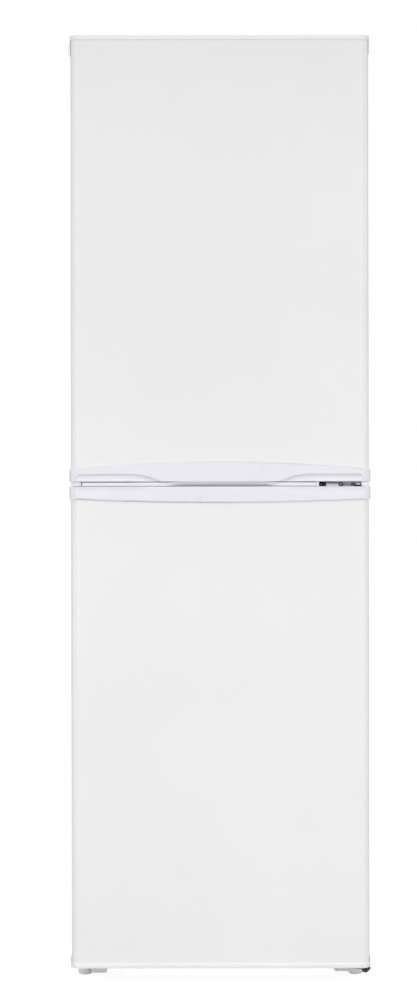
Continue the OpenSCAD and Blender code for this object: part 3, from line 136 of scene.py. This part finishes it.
# Polyurethane foam: blown in place, so closed cells, drawn at 1.5 mm, which is coarser than real, to show
def blownFoam(name, cellMm=1.5, driftMm=30):
    material, tree, place = newMaterial(name)
    cells = addNode(tree, "TexVoronoi", {"Vector": place, "Scale": 1 / (cellMm * mm)})
    drift = addNode(tree, "TexNoise", {"Vector": place, "Scale": 1 / (driftMm * mm), "Detail": 3.0})
    shader = addNode(tree, "BsdfPrincipled", {
        "Base Color": addNode(tree, "ValToRGB", {"Fac": drift}, stops=((0.35, "#D9C79A"), (0.65, "#E8DBB4"))),
        "Normal": addNode(tree, "Bump", {"Height": cells, "Distance": 0.3 * mm}),
        "Roughness": 0.85})
    addNode(tree, "OutputMaterial", {"Surface": shader})
    return material


# Clear and frosted sheet or moulding: seen through when faced, milkier and tinted towards its rims
def clearSheet(name, tint, rimTint, opacity, gloss, ior, driftMm=45, rimExtra=0.45):
    material, tree, place = newMaterial(name)
    drift = addNode(tree, "TexNoise", {"Vector": place, "Scale": 1 / (driftMm * mm), "Detail": 3.0})
    rim = addNode(tree, "LayerWeight", {"Blend": 0.35}, out="Facing")
    thicker = min(1.0, opacity + rimExtra)
    shader = addNode(tree, "BsdfPrincipled", {
        "Base Color": addNode(tree, "ValToRGB", {"Fac": rim}, stops=((0.2, tint), (0.95, rimTint))),
        "Roughness": addNode(tree, "MapRange", {"Value": drift, "To Min": gloss[0], "To Max": gloss[1]}),
        "Alpha": addNode(tree, "MapRange", {"Value": rim, "To Min": opacity, "To Max": thicker}),
        "IOR": ior})
    addNode(tree, "OutputMaterial", {"Surface": shader})
    material.surface_render_method = "BLENDED"
    return material


doorEnamel = coatedSteel("coilCoatedDoorSteel", "#EFEFEF", "#ECECEC")
cabinetEnamel = coatedSteel("coilCoatedCabinetSteel", "#ECECEC", "#E8E8E8", peelMm=6.0)
whiteAbs = mouldedPlastic("mouldedWhiteAbs", "#F0F0F1", "#ECECEE")
trimAbs = mouldedPlastic("mouldedCoolWhiteAbs", "#E9E8EE", "#E6E5EC", gloss=(0.24, 0.34))
linerStyrene = mouldedPlastic("vacuumFormedPolystyrene", "#F2F3F3", "#EDEFEF", grainMm=2.5, depthMm=0.01,
                              gloss=(0.28, 0.42), driftMm=140)
foam = blownFoam("blownPolyurethane")
galvanised = galvanisedSheet("galvanisedSheet")
zincPlate = workedMetal("zincPlatedSteel", "#B9BABD", "#9B9CA1")
# Zinc plate painted lighter than the other plated parts, for the middle hinge that sits in the shade of the
# gap between the doors: painted light
zincLightenedForGapShade = workedMetal("zincPlatedSteelLightenedForShade", "#DCDDE1", "#CDCED3", gloss=(0.4, 0.52))
stoveEnamel = mouldedPlastic("blackStoveEnamel", "#1A1A1B", "#121213", grainMm=3.0, depthMm=0.02,
                             gloss=(0.28, 0.42), driftMm=30)
weldMetal = workedMetal("brazedSteelBead", "#2A2826", "#1B1A19", gloss=(0.4, 0.6), lineMm=1.5)
rubber = mouldedPlastic("mouldedRubber", "#2B2B2B", "#1F1F20", grainMm=0.8, depthMm=0.02, gloss=(0.6, 0.75))
blackNylon = mouldedPlastic("mouldedBlackNylon", "#28282A", "#1C1C1E", gloss=(0.42, 0.55))
paleNylon = mouldedPlastic("mouldedNaturalNylon", "#E6E5E4", "#DDDCDA", gloss=(0.35, 0.45))
softPvc = mouldedPlastic("extrudedSoftPvc", "#E9E9E9", "#E0E0E1", grainMm=2.0, depthMm=0.01,
                         gloss=(0.45, 0.6))
greyInk = mouldedPlastic("padPrintedGrey", "#8D9196", "#83878C", gloss=(0.4, 0.5))
copper = workedMetal("drawnCopper", "#D79A7A", "#B87656", gloss=(0.22, 0.38))
aluminium = workedMetal("rolledAluminium", "#D6D8DA", "#C4C7CA", gloss=(0.3, 0.42), stretch=(0.2, 3, 1))
clearStyrene = clearSheet("clearPolystyrene", "#E9F1F5", "#BFD6DE", 0.3, (0.06, 0.14), 1.58)
frostedStyrene = clearSheet("frostedPolystyrene", "#E6EEF3", "#BFD6DE", 0.72, (0.25, 0.4), 1.58)
floatGlass = clearSheet("temperedFloatGlass", "#EDF6F3", "#9CC9BC", 0.16, (0.02, 0.04), 1.52)
opalStyrene = clearSheet("opalPolystyrene", "#F6F6F2", "#EDEDE6", 0.85, (0.2, 0.3), 1.58)
print("stage: materials ready")


# Each finish, the radius of its edges in mm (0 leaves them as cut), and the CAD nodes that have it
dressing = {
    "cabinetSteel": (cabinetEnamel, 0.4, ["side_panel_left", "side_panel_right", "front_rails",
                                          "support_bracket_left", "bottom_hinge"]),
    "doorSteel": (doorEnamel, 0, ["upper_door_skin", "lower_door_skin"]),
    "endCaps": (whiteAbs, 0.25, ["upper_door_top_cap", "lower_door_bottom_cap"]),
    "whiteMouldings": (whiteAbs, 0.6, ["worktop", "gap_blanking_plug", "thermostat_housing",
                                       "thermostat_knob", "shelf_trims", "foot_left", "foot_right"]),
    "gapStrip": (whiteAbs, 0, ["gap_strip"]),
    "handleTrims": (trimAbs, 0, ["upper_door_handle", "lower_door_handle"]),
    "liners": (linerStyrene, 0, ["fridge_liner", "freezer_liner", "upper_door_liner", "lower_door_liner"]),
    "foams": (foam, 0, ["insulation", "upper_door_foam", "lower_door_foam"]),
    "galvanisedParts": (galvanised, 0, ["back_panel", "bottom_pan", "compressor_base"]),
    "platedParts": (zincPlate, 0.3, ["top_hinge", "hinge_screws"]),
    # the middle hinge takes the lighter zinc, painted light against the gap's shade
    "shadeLightenedParts": (zincLightenedForGapShade, 0.3, ["middle_hinge"]),
    "blackSteel": (stoveEnamel, 0, ["compressor", "condenser_tube", "condenser_wires"]),
    "rubberParts": (rubber, 0.4, ["compressor_grommets"]),
    # The lower door's bushes are black while the upper door's are pale nylon: their black is painted shade
    # under the middle hinge's plate
    "blackMouldingsAndShadeBushes": (blackNylon, 0.4, ["terminal_cover", "condenser_clips", "cable_gland", "roller_left",
                                         "roller_right", "lower_door_bushes",
                                         "evaporation_tray", "bottom_hinge_clip"]),
    "paleMouldings": (paleNylon, 0.4, ["upper_door_bushes"]),
    "seals": (softPvc, 0, ["upper_door_gasket", "lower_door_gasket"]),
    "copperParts": (copper, 0, ["refrigerant_pipes", "filter_drier"]),
    "clearParts": (clearStyrene, 0, ["crisper_left", "crisper_right", "door_shelves"]),
    "frostedParts": (frostedStyrene, 0, ["freezer_drawer_1", "freezer_drawer_2", "freezer_drawer_3",
                                         "freezer_drawer_4"]),
    "panes": (floatGlass, 0, ["shelf_glass", "crisper_cover_glass"]),
    "lampCover": (opalStyrene, 0, ["lamp_lens"]),
    "evaporator": (aluminium, 0, ["evaporator_shelves"]),
}


def shadeSmooth(mesh, creaseDeg=32):
    mesh.polygons.foreach_set("use_smooth", [True] * len(mesh.polygons))
    mesh.set_sharp_from_angle(angle=math.radians(creaseDeg))


def roundEdges(piece, radiusMm, angleDeg=38):  # a small real radius, so that edges catch the light
    weld = piece.modifiers.new("weld", "WELD")
    weld.merge_threshold = 0.01 * mm
    flat = piece.modifiers.new("flat", "DECIMATE")
    flat.decimate_type = "DISSOLVE"
    flat.angle_limit = math.radians(0.2)
    bevel = piece.modifiers.new("edge", "BEVEL")
    bevel.width = radiusMm * mm
    bevel.segments = 2
    bevel.limit_method = "ANGLE"
    bevel.angle_limit = math.radians(angleDeg)
    bevel.use_clamp_overlap = True
    bevel.harden_normals = True


for finish, radiusMm, names in dressing.values():
    for name in names:
        piece = nodes[name]
        piece.data.materials.clear()
        piece.data.materials.append(finish)
        shadeSmooth(piece.data)
        if radiusMm:
            roundEdges(piece, radiusMm)
missing = set(nodes) - {name for group in dressing.values() for name in group[2]}
print("stage: CAD nodes dressed, without a finish:", sorted(missing))


def addPiece(name, mesh, finish, body, replaced=(), creaseDeg=32):
    piece = bpy.data.objects.new(name, mesh)
    scene.collection.objects.link(piece)
    mesh.materials.append(finish)
    shadeSmooth(mesh, creaseDeg)
    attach(piece, body)
    if replaced:
        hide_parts(*replaced)


def meshFrom(name, shape):  # closes a bmesh into a mesh, with its faces turned outwards
    bmesh.ops.remove_doubles(shape, verts=shape.verts, dist=0.001 * mm)
    bmesh.ops.recalc_face_normals(shape, faces=shape.faces)
    mesh = bpy.data.meshes.new(name)
    shape.to_mesh(mesh)
    shape.free()
    return mesh


def boxMm(node):  # a CAD node's lowest and highest corner, in mm
    return [Vector(corner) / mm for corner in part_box(node)]


def turned(profile, steps=32):  # a closed turning about +Z from (radius, height) points in mm
    shape = bmesh.new()
    turns = [2 * math.pi * i / steps for i in range(steps)]
    rings = []
    for radius, height in profile:
        spots = [(radius * math.cos(a), radius * math.sin(a), height) for a in (turns if radius else [0])]
        rings.append([shape.verts.new(Vector(spot) * mm) for spot in spots])
    for lower, upper in zip(rings, rings[1:]):
        for i in range(steps):
            j = (i + 1) % steps
            corners = [ring[k % len(ring)] for ring, k in ((lower, i), (lower, j), (upper, j), (upper, i))]
            unique = list(dict.fromkeys(corners))
            if len(unique) > 2:
                shape.faces.new(unique)
    return shape


def sweptMesh(name, *solids, closed=False):  # each solid is a row of rings of points in mm
    shape = bmesh.new()
    for solid in solids:
        rings = [[shape.verts.new(Vector(point) * mm) for point in ring] for ring in solid]
        for ring, after in zip(rings, rings[1:] + (rings[:1] if closed else [])):
            for j in range(len(ring)):
                k = (j + 1) % len(ring)
                shape.faces.new((ring[j], after[j], after[k], ring[k]))
        for end in [] if closed else [rings[0], rings[-1]]:
            shape.faces.new(end)
    return meshFrom(name, shape)


def copies(name, stamps):  # one mesh that holds each given mesh, moved by its matrix
    shape = bmesh.new()
    for mesh, place in stamps:
        start = len(shape.verts)
        shape.from_mesh(mesh)
        shape.verts.ensure_lookup_table()
        bmesh.ops.transform(shape, matrix=place, verts=shape.verts[start:])
    return meshFrom(name, shape)


def cut(body, cutter):  # the body mesh less the cutter mesh, as a new mesh
    base = bpy.data.objects.new("blank", body)
    tool = bpy.data.objects.new("cutter", cutter)
    for item in (base, tool):
        scene.collection.objects.link(item)
    step = base.modifiers.new("cut", "BOOLEAN")
    step.object = tool
    step.operation = "DIFFERENCE"
    step.solver = "EXACT"
    result = bpy.data.meshes.new_from_object(base.evaluated_get(bpy.context.evaluated_depsgraph_get()))
    for item in (base, tool):
        bpy.data.objects.remove(item)
    return result


quarterTurn = [math.radians(a) for a in range(0, 91, 15)]  # the steps of a rounded quarter

# Pan-head screws with a cross recess, in place of the plain heads
screw = {"headMm": 9.0, "headHighMm": 2.6, "shankMm": 5.0}
recess = {"acrossMm": 5.4, "wideMm": 1.1, "deepMm": 1.7, "taper": (0.55, 1.15)}


def panScrewMesh(lengthMm, headMm, headHighMm, shankMm, edgeShare=0.35):
    r, h = headMm / 2, headHighMm
    dome = [(r * math.cos(a), h * (edgeShare + (1 - edgeShare) * math.sin(a))) for a in quarterTurn[:-1]]
    blank = turned([(0, -lengthMm), (shankMm / 2, -lengthMm), (shankMm / 2, 0), (r, 0)] + dome + [(0, h)])
    rings = []
    for z, share in zip((h - recess["deepMm"], h + 1), recess["taper"]):
        a, b = recess["acrossMm"] / 2 * share, recess["wideMm"] / 2 * share
        cross = [(a, -b), (a, b), (b, b), (b, a), (-b, a), (-b, b)]
        rings.append([(sign * x, sign * y, z) for sign in (1, -1) for x, y in cross])
    return cut(meshFrom("panHead", blank), sweptMesh("crossRecess", rings))


flangeY, flangeZ, topZ, bracketZ = -235, 911.5, 1732, 22  # the faces that the screws' heads lie on, in mm
hingeScrews = [  # place in mm, tilt and drive in degrees, length under the head in mm
    ((188, flangeY, flangeZ), 90, 20, 5), ((224, flangeY, flangeZ), 90, 65, 5),
    ((236, -198, topZ), 0, 30, 18), ((260, -198, topZ), 0, 75, 18),
    ((219, -192, bracketZ), 180, 10, 14), ((-219, -192, bracketZ), 180, 50, 14)]


def screwPlace(where, tiltDeg, driveDeg):  # driveDeg is how far round the screw happens to be driven
    tilt = Matrix.Rotation(math.radians(tiltDeg), 4, "X")
    return Matrix.Translation(Vector(where) * mm) @ tilt @ Matrix.Rotation(math.radians(driveDeg), 4, "Z")


stamps = [(panScrewMesh(lengthMm, **screw), screwPlace(*place)) for *place, lengthMm in hingeScrews]
addPiece("crossHeadScrews", copies("crossHeadScrews", stamps), zincPlate, "cabinet",
         ["hinge_screws"])

# Small pan-head screws that hold the back panel to the side panels' returns
smallScrew = {"headMm": 7.0, "headHighMm": 2.0, "shankMm": 3.5}
backScrews = {"lengthMm": 1.0, "xMm": 261, "panelThickMm": 1, "lowMm": 268, "stepMm": 236, "rows": 7,
              "driveDegARow": 37, "driveDegASide": 20}
panelY = boxMm("back_panel")[0].y + backScrews["panelThickMm"]
master = panScrewMesh(backScrews["lengthMm"], **smallScrew)
stamps = []
for sign in (-1, 1):
    for row in range(backScrews["rows"]):
        where = (sign * backScrews["xMm"], panelY, backScrews["lowMm"] + row * backScrews["stepMm"])
        driveDeg = backScrews["driveDegARow"] * row + backScrews["driveDegASide"] * sign
        stamps.append((master, screwPlace(where, -90, driveDeg)))
addPiece("backPanelScrews", copies("backPanelScrews", stamps), zincPlate, "cabinet")

# Washers and nuts on the studs that hold the compressor's grommets down
nut = {"washerMm": 15, "washerThickMm": 1.0, "acrossMm": 10, "highMm": 3.4, "boreMm": 6.1, "chamferMm": 0.7,
       "chamferInMm": 0.8, "centreMm": (-50, 167, 43.5), "studsMm": (84, 58)}
bore, rim, low = nut["boreMm"] / 2, nut["washerMm"] / 2, nut["washerThickMm"]
washerMesh = meshFrom("washer", turned([(bore, 0), (rim, 0), (rim, low), (bore, low), (bore, 0)]))
corner, high = nut["acrossMm"] / 2 / math.cos(math.radians(30)), low + nut["highMm"]
hexagonMesh = meshFrom("hexagon", turned([(bore, low), (corner, low), (corner, high - nut["chamferMm"]),
                                          (corner - nut["chamferInMm"], high), (bore, high), (bore, low)],
                                         steps=6))
stamps = []
for sx in (-1, 1):
    for sy in (-1, 1):
        stud = Vector(nut["centreMm"]) + Vector((sx * nut["studsMm"][0], sy * nut["studsMm"][1], 0))
        stamps += [(part, Matrix.Translation(stud * mm)) for part in (washerMesh, hexagonMesh)]
addPiece("grommetNuts", copies("grommetNuts", stamps), zincPlate, "cabinet")

# Beads where each condenser wire is welded to each run of the tube
bead = {"radiusMm": 1.25, "fromTubeMm": 2.7, "firstRunMm": 346, "pitchMm": 56, "runs": 22, "wires": 27,
        "wireRadiusMm": 0.8}
wireLow, wireHigh = boxMm("condenser_wires")
tubeY = (wireLow.y + wireHigh.y) / 2
firstX, lastX = wireLow.x + bead["wireRadiusMm"], wireHigh.x - bead["wireRadiusMm"]
ball = bmesh.new()
bmesh.ops.create_icosphere(ball, subdivisions=1, radius=bead["radiusMm"] * mm)
ballMesh = meshFrom("ball", ball)
stamps = []
for run in range(bead["runs"]):
    for wire in range(bead["wires"]):
        x = firstX + (lastX - firstX) * wire / (bead["wires"] - 1)
        z = bead["firstRunMm"] + run * bead["pitchMm"]
        for sign in (-1, 1):
            spot = Vector((x, tubeY + sign * bead["fromTubeMm"], z))
            stamps.append((ballMesh, Matrix.Translation(spot * mm)))
addPiece("condenserWeldBeads", copies("condenserWeldBeads", stamps), weldMetal, "cabinet",
         creaseDeg=180)

# The rippled weld round the joint of the compressor's two shells
seam = {"ringMm": 83.2, "beadMm": 1.7, "rippleMm": 0.3, "ripples": 130, "stepsRound": 520, "sides": 8,
        "flatness": 0.9, "centreMm": (-50, 167, 112)}


def seamMesh():
    rings = []
    for i in range(seam["stepsRound"]):
        angle = 2 * math.pi * i / seam["stepsRound"]
        thick = seam["beadMm"] + seam["rippleMm"] * math.sin(angle * seam["ripples"])
        ring = []
        for j in range(seam["sides"]):
            turn = 2 * math.pi * j / seam["sides"]
            out = seam["ringMm"] + thick * math.cos(turn)
            rise = thick * seam["flatness"] * math.sin(turn)
            spot = Vector((out * math.cos(angle), out * math.sin(angle), rise))
            ring.append(Vector(seam["centreMm"]) + spot)
        rings.append(ring)
    return sweptMesh("seam", rings, closed=True)


addPiece("compressorSeamWeld", seamMesh(), weldMetal, "cabinet", creaseDeg=180)

# Door seals: a barbed base, soft bellows and the magnet's pocket, mitred and welded at the corners
sealProfile = [  # (distance in from the seal's outer edge, distance from the door), in mm
    (0.4, 0.0), (13.6, 0.0), (14.0, 1.0), (13.2, 2.2), (10.6, 2.8), (9.2, 3.6), (11.0, 4.6), (11.2, 5.4),
    (9.4, 6.4), (10.8, 7.4), (12.6, 8.0), (13.0, 9.0), (13.0, 11.0), (12.3, 11.7), (1.7, 11.7), (1.0, 11.0),
    (1.0, 9.0), (1.4, 8.0), (3.2, 7.4), (4.6, 6.4), (2.8, 5.4), (3.0, 4.6), (4.8, 3.6), (3.4, 2.8),
    (0.8, 2.2), (0.0, 1.0)]


def sealMesh(node):
    low, high = boxMm(node)
    loops = []
    for inset, out in sealProfile:
        left, right, bottom, top = low.x + inset, high.x - inset, low.z + inset, high.z - inset
        corners = ((left, bottom), (right, bottom), (right, top), (left, top))
        loops.append([(x, low.y + out, z) for x, z in corners])
    return sweptMesh("seal", loops, closed=True)


for door in ("upper", "lower"):
    addPiece(door + "DoorSeal", sealMesh(door + "_door_gasket"), softPvc, door + "_door",
             [door + "_door_gasket"], creaseDeg=50)

# Where the gap between the doors lies: the trims' front, and the gap's lower and upper edge
trimFront = boxMm("upper_door_handle")[0].y
gapLow, gapHigh = boxMm("lower_door_handle")[1].z, boxMm("upper_door_handle")[0].z

# The strip in the gap: behind each grip its face fills the gap, and between them it rolls back under
strip = {"faceBackMm": 2.2, "rollBackMm": 13.0, "topClearMm": 0.25, "gripClearMm": 1.1, "lowClearMm": 0.5,
         "rollPower": 1.25, "softMm": 1.2, "softPower": 6, "flangeMm": 6, "flangeThickMm": 2,
         "gripEndsMm": (-102, 114), "rollEndsMm": (-68, 74), "steps": 12, "stations": 96}


def stripShare(x):  # 0 behind the grips, 1 between them, with a smooth change where a grip ends
    left = (x - strip["gripEndsMm"][0]) / (strip["rollEndsMm"][0] - strip["gripEndsMm"][0])
    right = (strip["gripEndsMm"][1] - x) / (strip["gripEndsMm"][1] - strip["rollEndsMm"][1])
    share = max(0.0, min(1.0, left, right))
    return share * share * (3 - 2 * share)


def stripMesh():
    low, high = boxMm("gap_strip")
    lip, flange = high.y - strip["flangeThickMm"], strip["flangeMm"]
    bottom = gapLow + strip["lowClearMm"]
    rings = []
    for i in range(strip["stations"] + 1):
        x = low.x + (high.x - low.x) * i / strip["stations"]
        share = stripShare(x)
        top = gapHigh - strip["topClearMm"] - (1 - share) * strip["gripClearMm"]
        outline = []
        for j in range(strip["steps"] + 1):
            u = j / strip["steps"]
            flat = strip["softMm"] * (2 * u - 1) ** strip["softPower"]
            roll = strip["rollBackMm"] * u ** strip["rollPower"]
            y = trimFront + strip["faceBackMm"] + share * roll + (1 - share) * flat
            outline.append((y, top - u * (top - bottom)))
        outline += [(lip, bottom), (lip, bottom - flange), (high.y, bottom - flange),
                    (high.y, top + flange), (lip, top + flange), (lip, top)]
        rings.append([(x, y, z) for y, z in outline])
    return sweptMesh("gapFillStrip", rings)


addPiece("gapFillStrip", stripMesh(), trimAbs, "cabinet", ["gap_strip"], creaseDeg=50)

# Moulded covers round the middle hinge: pieces on its flange beside the screws, and a cap round its arm's end
cover = {"faceBackMm": 2.2, "slopeBackMm": 15.0, "slopePower": 1.3, "clearMm": 0.6, "offFlangeMm": 0.02,
         "stripEndMm": (175.2, 180.0), "shieldMm": (193.5, 216.0), "capLeftMm": 257.5, "capChamferMm": 1.0,
         "capWallMm": (269.1, 271.0), "capThickMm": 10.5, "capNoseMm": 4.0, "capEndYMm": -241.02, "steps": 8}


def coverMesh():
    face, flangeFace = trimFront + cover["faceBackMm"], flangeY - cover["offFlangeMm"]
    bottom, top = gapLow + cover["clearMm"], gapHigh - cover["clearMm"]
    solids = []
    for ends, slope in ((cover["stripEndMm"], 0.0), (cover["shieldMm"], cover["slopeBackMm"])):
        shares = [j / cover["steps"] for j in range(cover["steps"] + 1)]
        outline = [(face + slope * (1 - u) ** cover["slopePower"], top - u * (top - bottom)) for u in shares]
        outline += [(flangeFace, bottom), (flangeFace, top)]
        solids.append([[(x, y, z) for y, z in outline] for x in ends])
    left, chamfer, (inner, outer) = cover["capLeftMm"], cover["capChamferMm"], cover["capWallMm"]
    nose, back, endY = cover["capNoseMm"], face + cover["capThickMm"], cover["capEndYMm"]
    plan = [(left, back), (left, face + chamfer), (left + chamfer, face)]
    plan += [(outer - nose + nose * math.sin(a), face + nose - nose * math.cos(a)) for a in quarterTurn]
    plan += [(outer, endY), (inner, endY), (inner, back)]
    solids.append([[(x, y, z) for x, y in plan] for z in (bottom, top)])
    return sweptMesh("hingeCovers", *solids)


addPiece("hingeCovers", coverMesh(), trimAbs, "cabinet", creaseDeg=40)

# The plug that closes the gap's open end, with a rounded nose
plug = {"noseBackMm": 5.5, "clearMm": 0.6, "flangeMm": 6, "flangeThickMm": 2, "noseMm": 7, "innerMm": 1.5,
        "offBodyMm": 0.01}


def plugMesh():
    low, high = boxMm("gap_blanking_plug")
    front, lip = trimFront + plug["noseBackMm"], high.y - plug["flangeThickMm"]
    bottom, top = gapLow + plug["clearMm"], gapHigh - plug["clearMm"]
    nose, inner, flange = plug["noseMm"], plug["innerMm"], plug["flangeMm"]
    plan = [(low.x + nose - nose * math.cos(a), front + nose - nose * math.sin(a)) for a in quarterTurn]
    plan += [(high.x - inner + inner * math.sin(a), front + inner - inner * math.cos(a)) for a in quarterTurn]
    plan += [(high.x, lip), (low.x, lip)]
    body = [[(x, y, z) for x, y in plan] for z in (bottom, top)]
    near, far = lip + plug["offBodyMm"], high.y + plug["offBodyMm"]
    plan = [(low.x, near), (high.x, near), (high.x, far), (low.x, far)]
    sheet = [[(x, y, z) for x, y in plan] for z in (bottom - flange, top + flange)]
    return sweptMesh("gapEndPlug", body, sheet)


addPiece("gapEndPlug", plugMesh(), trimAbs, "cabinet", ["gap_blanking_plug"], creaseDeg=40)

# Marks round the thermostat's knob, each a little longer than the one before
scale = {"marks": 7, "fromDeg": -120, "toDeg": 120, "innerMm": 18.7, "shortMm": 1.2, "longMm": 3.4,
         "wideMm": 0.9, "proudMm": 0.35, "chamferMm": 0.15, "centreMm": (194, -80, 1570)}


def scaleMesh():
    marks = []
    for i in range(scale["marks"]):
        share = i / (scale["marks"] - 1)
        angle = scale["fromDeg"] + share * (scale["toDeg"] - scale["fromDeg"])
        turn = Matrix.Rotation(math.radians(angle), 3, "X")
        inner, length = scale["innerMm"], scale["shortMm"] + share * (scale["longMm"] - scale["shortMm"])
        rings = []
        for proud, trim in ((0.0, 0.0), (scale["proudMm"], scale["chamferMm"])):
            half, low, high = scale["wideMm"] / 2 - trim, inner + trim, inner + length - trim
            rings.append([turn @ Vector((-proud, y, z)) + Vector(scale["centreMm"])
                          for y, z in ((-half, low), (half, low), (half, high), (-half, high))])
        marks.append(rings)
    return sweptMesh("scaleMarks", *marks)


addPiece("thermostatScale", scaleMesh(), greyInk, "cabinet")

# The channel on the fridge's rear wall that leads the defrost water to the drain
channel = {"highMm": 1176, "fallMm": 10, "halfMm": 180, "wallYMm": 208, "halfSteps": 18, "endShare": 0.75}
channelProfile = [  # (distance back from the wall's face, height), in mm
    (0.05, -7), (-12, -1), (-12, 7), (-10.4, 7), (-10.4, 0.4), (0.05, -5)]


def channelMesh():
    last = channel["halfSteps"]
    rings = []
    for step in range(-last, last + 1):
        x = channel["halfMm"] * step / last
        high = channel["highMm"] - channel["fallMm"] * (1 - (x / channel["halfMm"]) ** 2)
        share = channel["endShare"] if abs(step) == last else 1.0
        rings.append([(x, channel["wallYMm"] + y * share, high + z * share) for y, z in channelProfile])
    return sweptMesh("drainChannel", rings)


addPiece("drainChannel", channelMesh(), linerStyrene, "cabinet")
print("stage: fasteners, welds, seals and fittings made")

studio = {
    "floorColour": "#A8A8A8",
    "floorHalf": 30,  # from the floor's middle to its edges
    "floorGlow": 0.85,  # how white the floor is to the camera, before its own light
    "floorDropMm": 0.2,  # how far the floor lies under the feet, so that the two faces don't flicker
    "ambient": 0.44,  # the room's light on the object
    "doorFaceY": -0.296,  # the plane that the camera's distance is measured from
    "keySize": (7.0, 3.0), "keyPlace": (0.0, -5.5, 1.45), "keyAim": (0, 0, 1.4), "keyPower": 56,
    "topSize": (5.0, 3.0), "topPlace": (0.0, -5.0, 7.0), "topAim": (0, -0.3, 1.0), "topPower": 122,
    "lowSize": (3.2, 0.3), "lowPlace": (0.0, -1.7, 0.16), "lowAim": (0, -0.3, 0.1), "lowPower": 5.8,
    "stripSize": (0.4, 2.8), "stripPlace": (1.25, -3.8, 1.42), "stripAim": (0, -0.3, 1.42), "stripPower": 12,
    "sideSize": (2.4, 2.6), "sidePlace": (3.6, -1.0, 1.2), "sideAim": (0, -0.1, 1.0), "sidePower": 20,
    "cameraHeight": 0.88242, "cameraX": -0.0209, "cameraAway": 3.2, "viewHeight": 1.8188, "rollDeg": 0.09,
}


def whiteForCamera(tree, seen, lit):  # seen shows to the camera and in reflections, lit gives the light
    rays = ("Is Camera Ray", "Is Glossy Ray", "Is Transmission Ray")
    looks = [addNode(tree, "LightPath", out=ray) for ray in rays]
    either = addNode(tree, "Math", {0: looks[0], 1: looks[1]}, operation="MAXIMUM")
    anyLook = addNode(tree, "Math", {0: either, 1: looks[2]}, operation="MAXIMUM")
    return addNode(tree, "MixShader", {0: anyLook, 1: lit, 2: seen})


world = bpy.data.worlds.new("whiteRoom")
scene.world = world
world.use_nodes = True
worldTree = world.node_tree
worldTree.nodes.clear()
seenSky = addNode(worldTree, "Background", {"Color": linear("#FFFFFF"), "Strength": 1.0})
litSky = addNode(worldTree, "Background", {"Color": linear("#FFFFFF"), "Strength": studio["ambient"]})
addNode(worldTree, "OutputWorld", {"Surface": whiteForCamera(worldTree, seenSky, litSky)})

floorMesh = bpy.data.meshes.new("floor")
half = studio["floorHalf"]
floorMesh.from_pydata([(-half, -half, 0), (half, -half, 0), (half, half, 0), (-half, half, 0)], [],
                      [(0, 1, 2, 3)])
floor = bpy.data.objects.new("floor", floorMesh)
scene.collection.objects.link(floor)
floor.location.z = -studio["floorDropMm"] * mm
floorPaint, floorTree = newMaterial("paintedFloor")[:2]
paint = addNode(floorTree, "BsdfDiffuse", {"Color": linear(studio["floorColour"])})
glow = addNode(floorTree, "Emission", {"Color": linear("#FFFFFF"), "Strength": studio["floorGlow"]})
both = addNode(floorTree, "AddShader", {0: paint, 1: glow})
addNode(floorTree, "OutputMaterial", {"Surface": whiteForCamera(floorTree, both, paint)})
floorMesh.materials.append(floorPaint)


def addLamp(name, size, place, aim, power):
    data = bpy.data.lights.new(name, "AREA")
    data.shape = "RECTANGLE"
    data.size, data.size_y = size
    data.energy = power
    lamp = bpy.data.objects.new(name, data)
    scene.collection.objects.link(lamp)
    lamp.location = place
    lamp.rotation_euler = (Vector(aim) - Vector(place)).to_track_quat("-Z", "Y").to_euler()
    lamp.visible_camera = False
    return lamp


lampParts = ("Size", "Place", "Aim", "Power")
for lampName in ("key", "top", "low"):
    softbox = addLamp(lampName + "Softbox", *[studio[lampName + part] for part in lampParts])
softbox.visible_glossy = False  # the low one, whose reflection would draw a band across the doors
for side, sign in (("Left", -1), ("Right", 1)):
    for lampName in ("strip", "side"):
        size, (away, y, z), aim, power = [studio[lampName + part] for part in lampParts]
        addLamp(lampName + side, size, (sign * away, y, z), aim, power)

cameraData = bpy.data.cameras.new("photoCamera")
camera = bpy.data.objects.new("photoCamera", cameraData)
scene.collection.objects.link(camera)
scene.camera = camera
cameraData.lens = cameraData.sensor_width * studio["cameraAway"] / studio["viewHeight"]
camera.location = (studio["cameraX"], studio["doorFaceY"] - studio["cameraAway"], studio["cameraHeight"])
camera.rotation_euler = (math.radians(90), math.radians(studio["rollDeg"]), 0)
scene.view_settings.view_transform = "Standard"
print("stage: floor, light and camera ready")
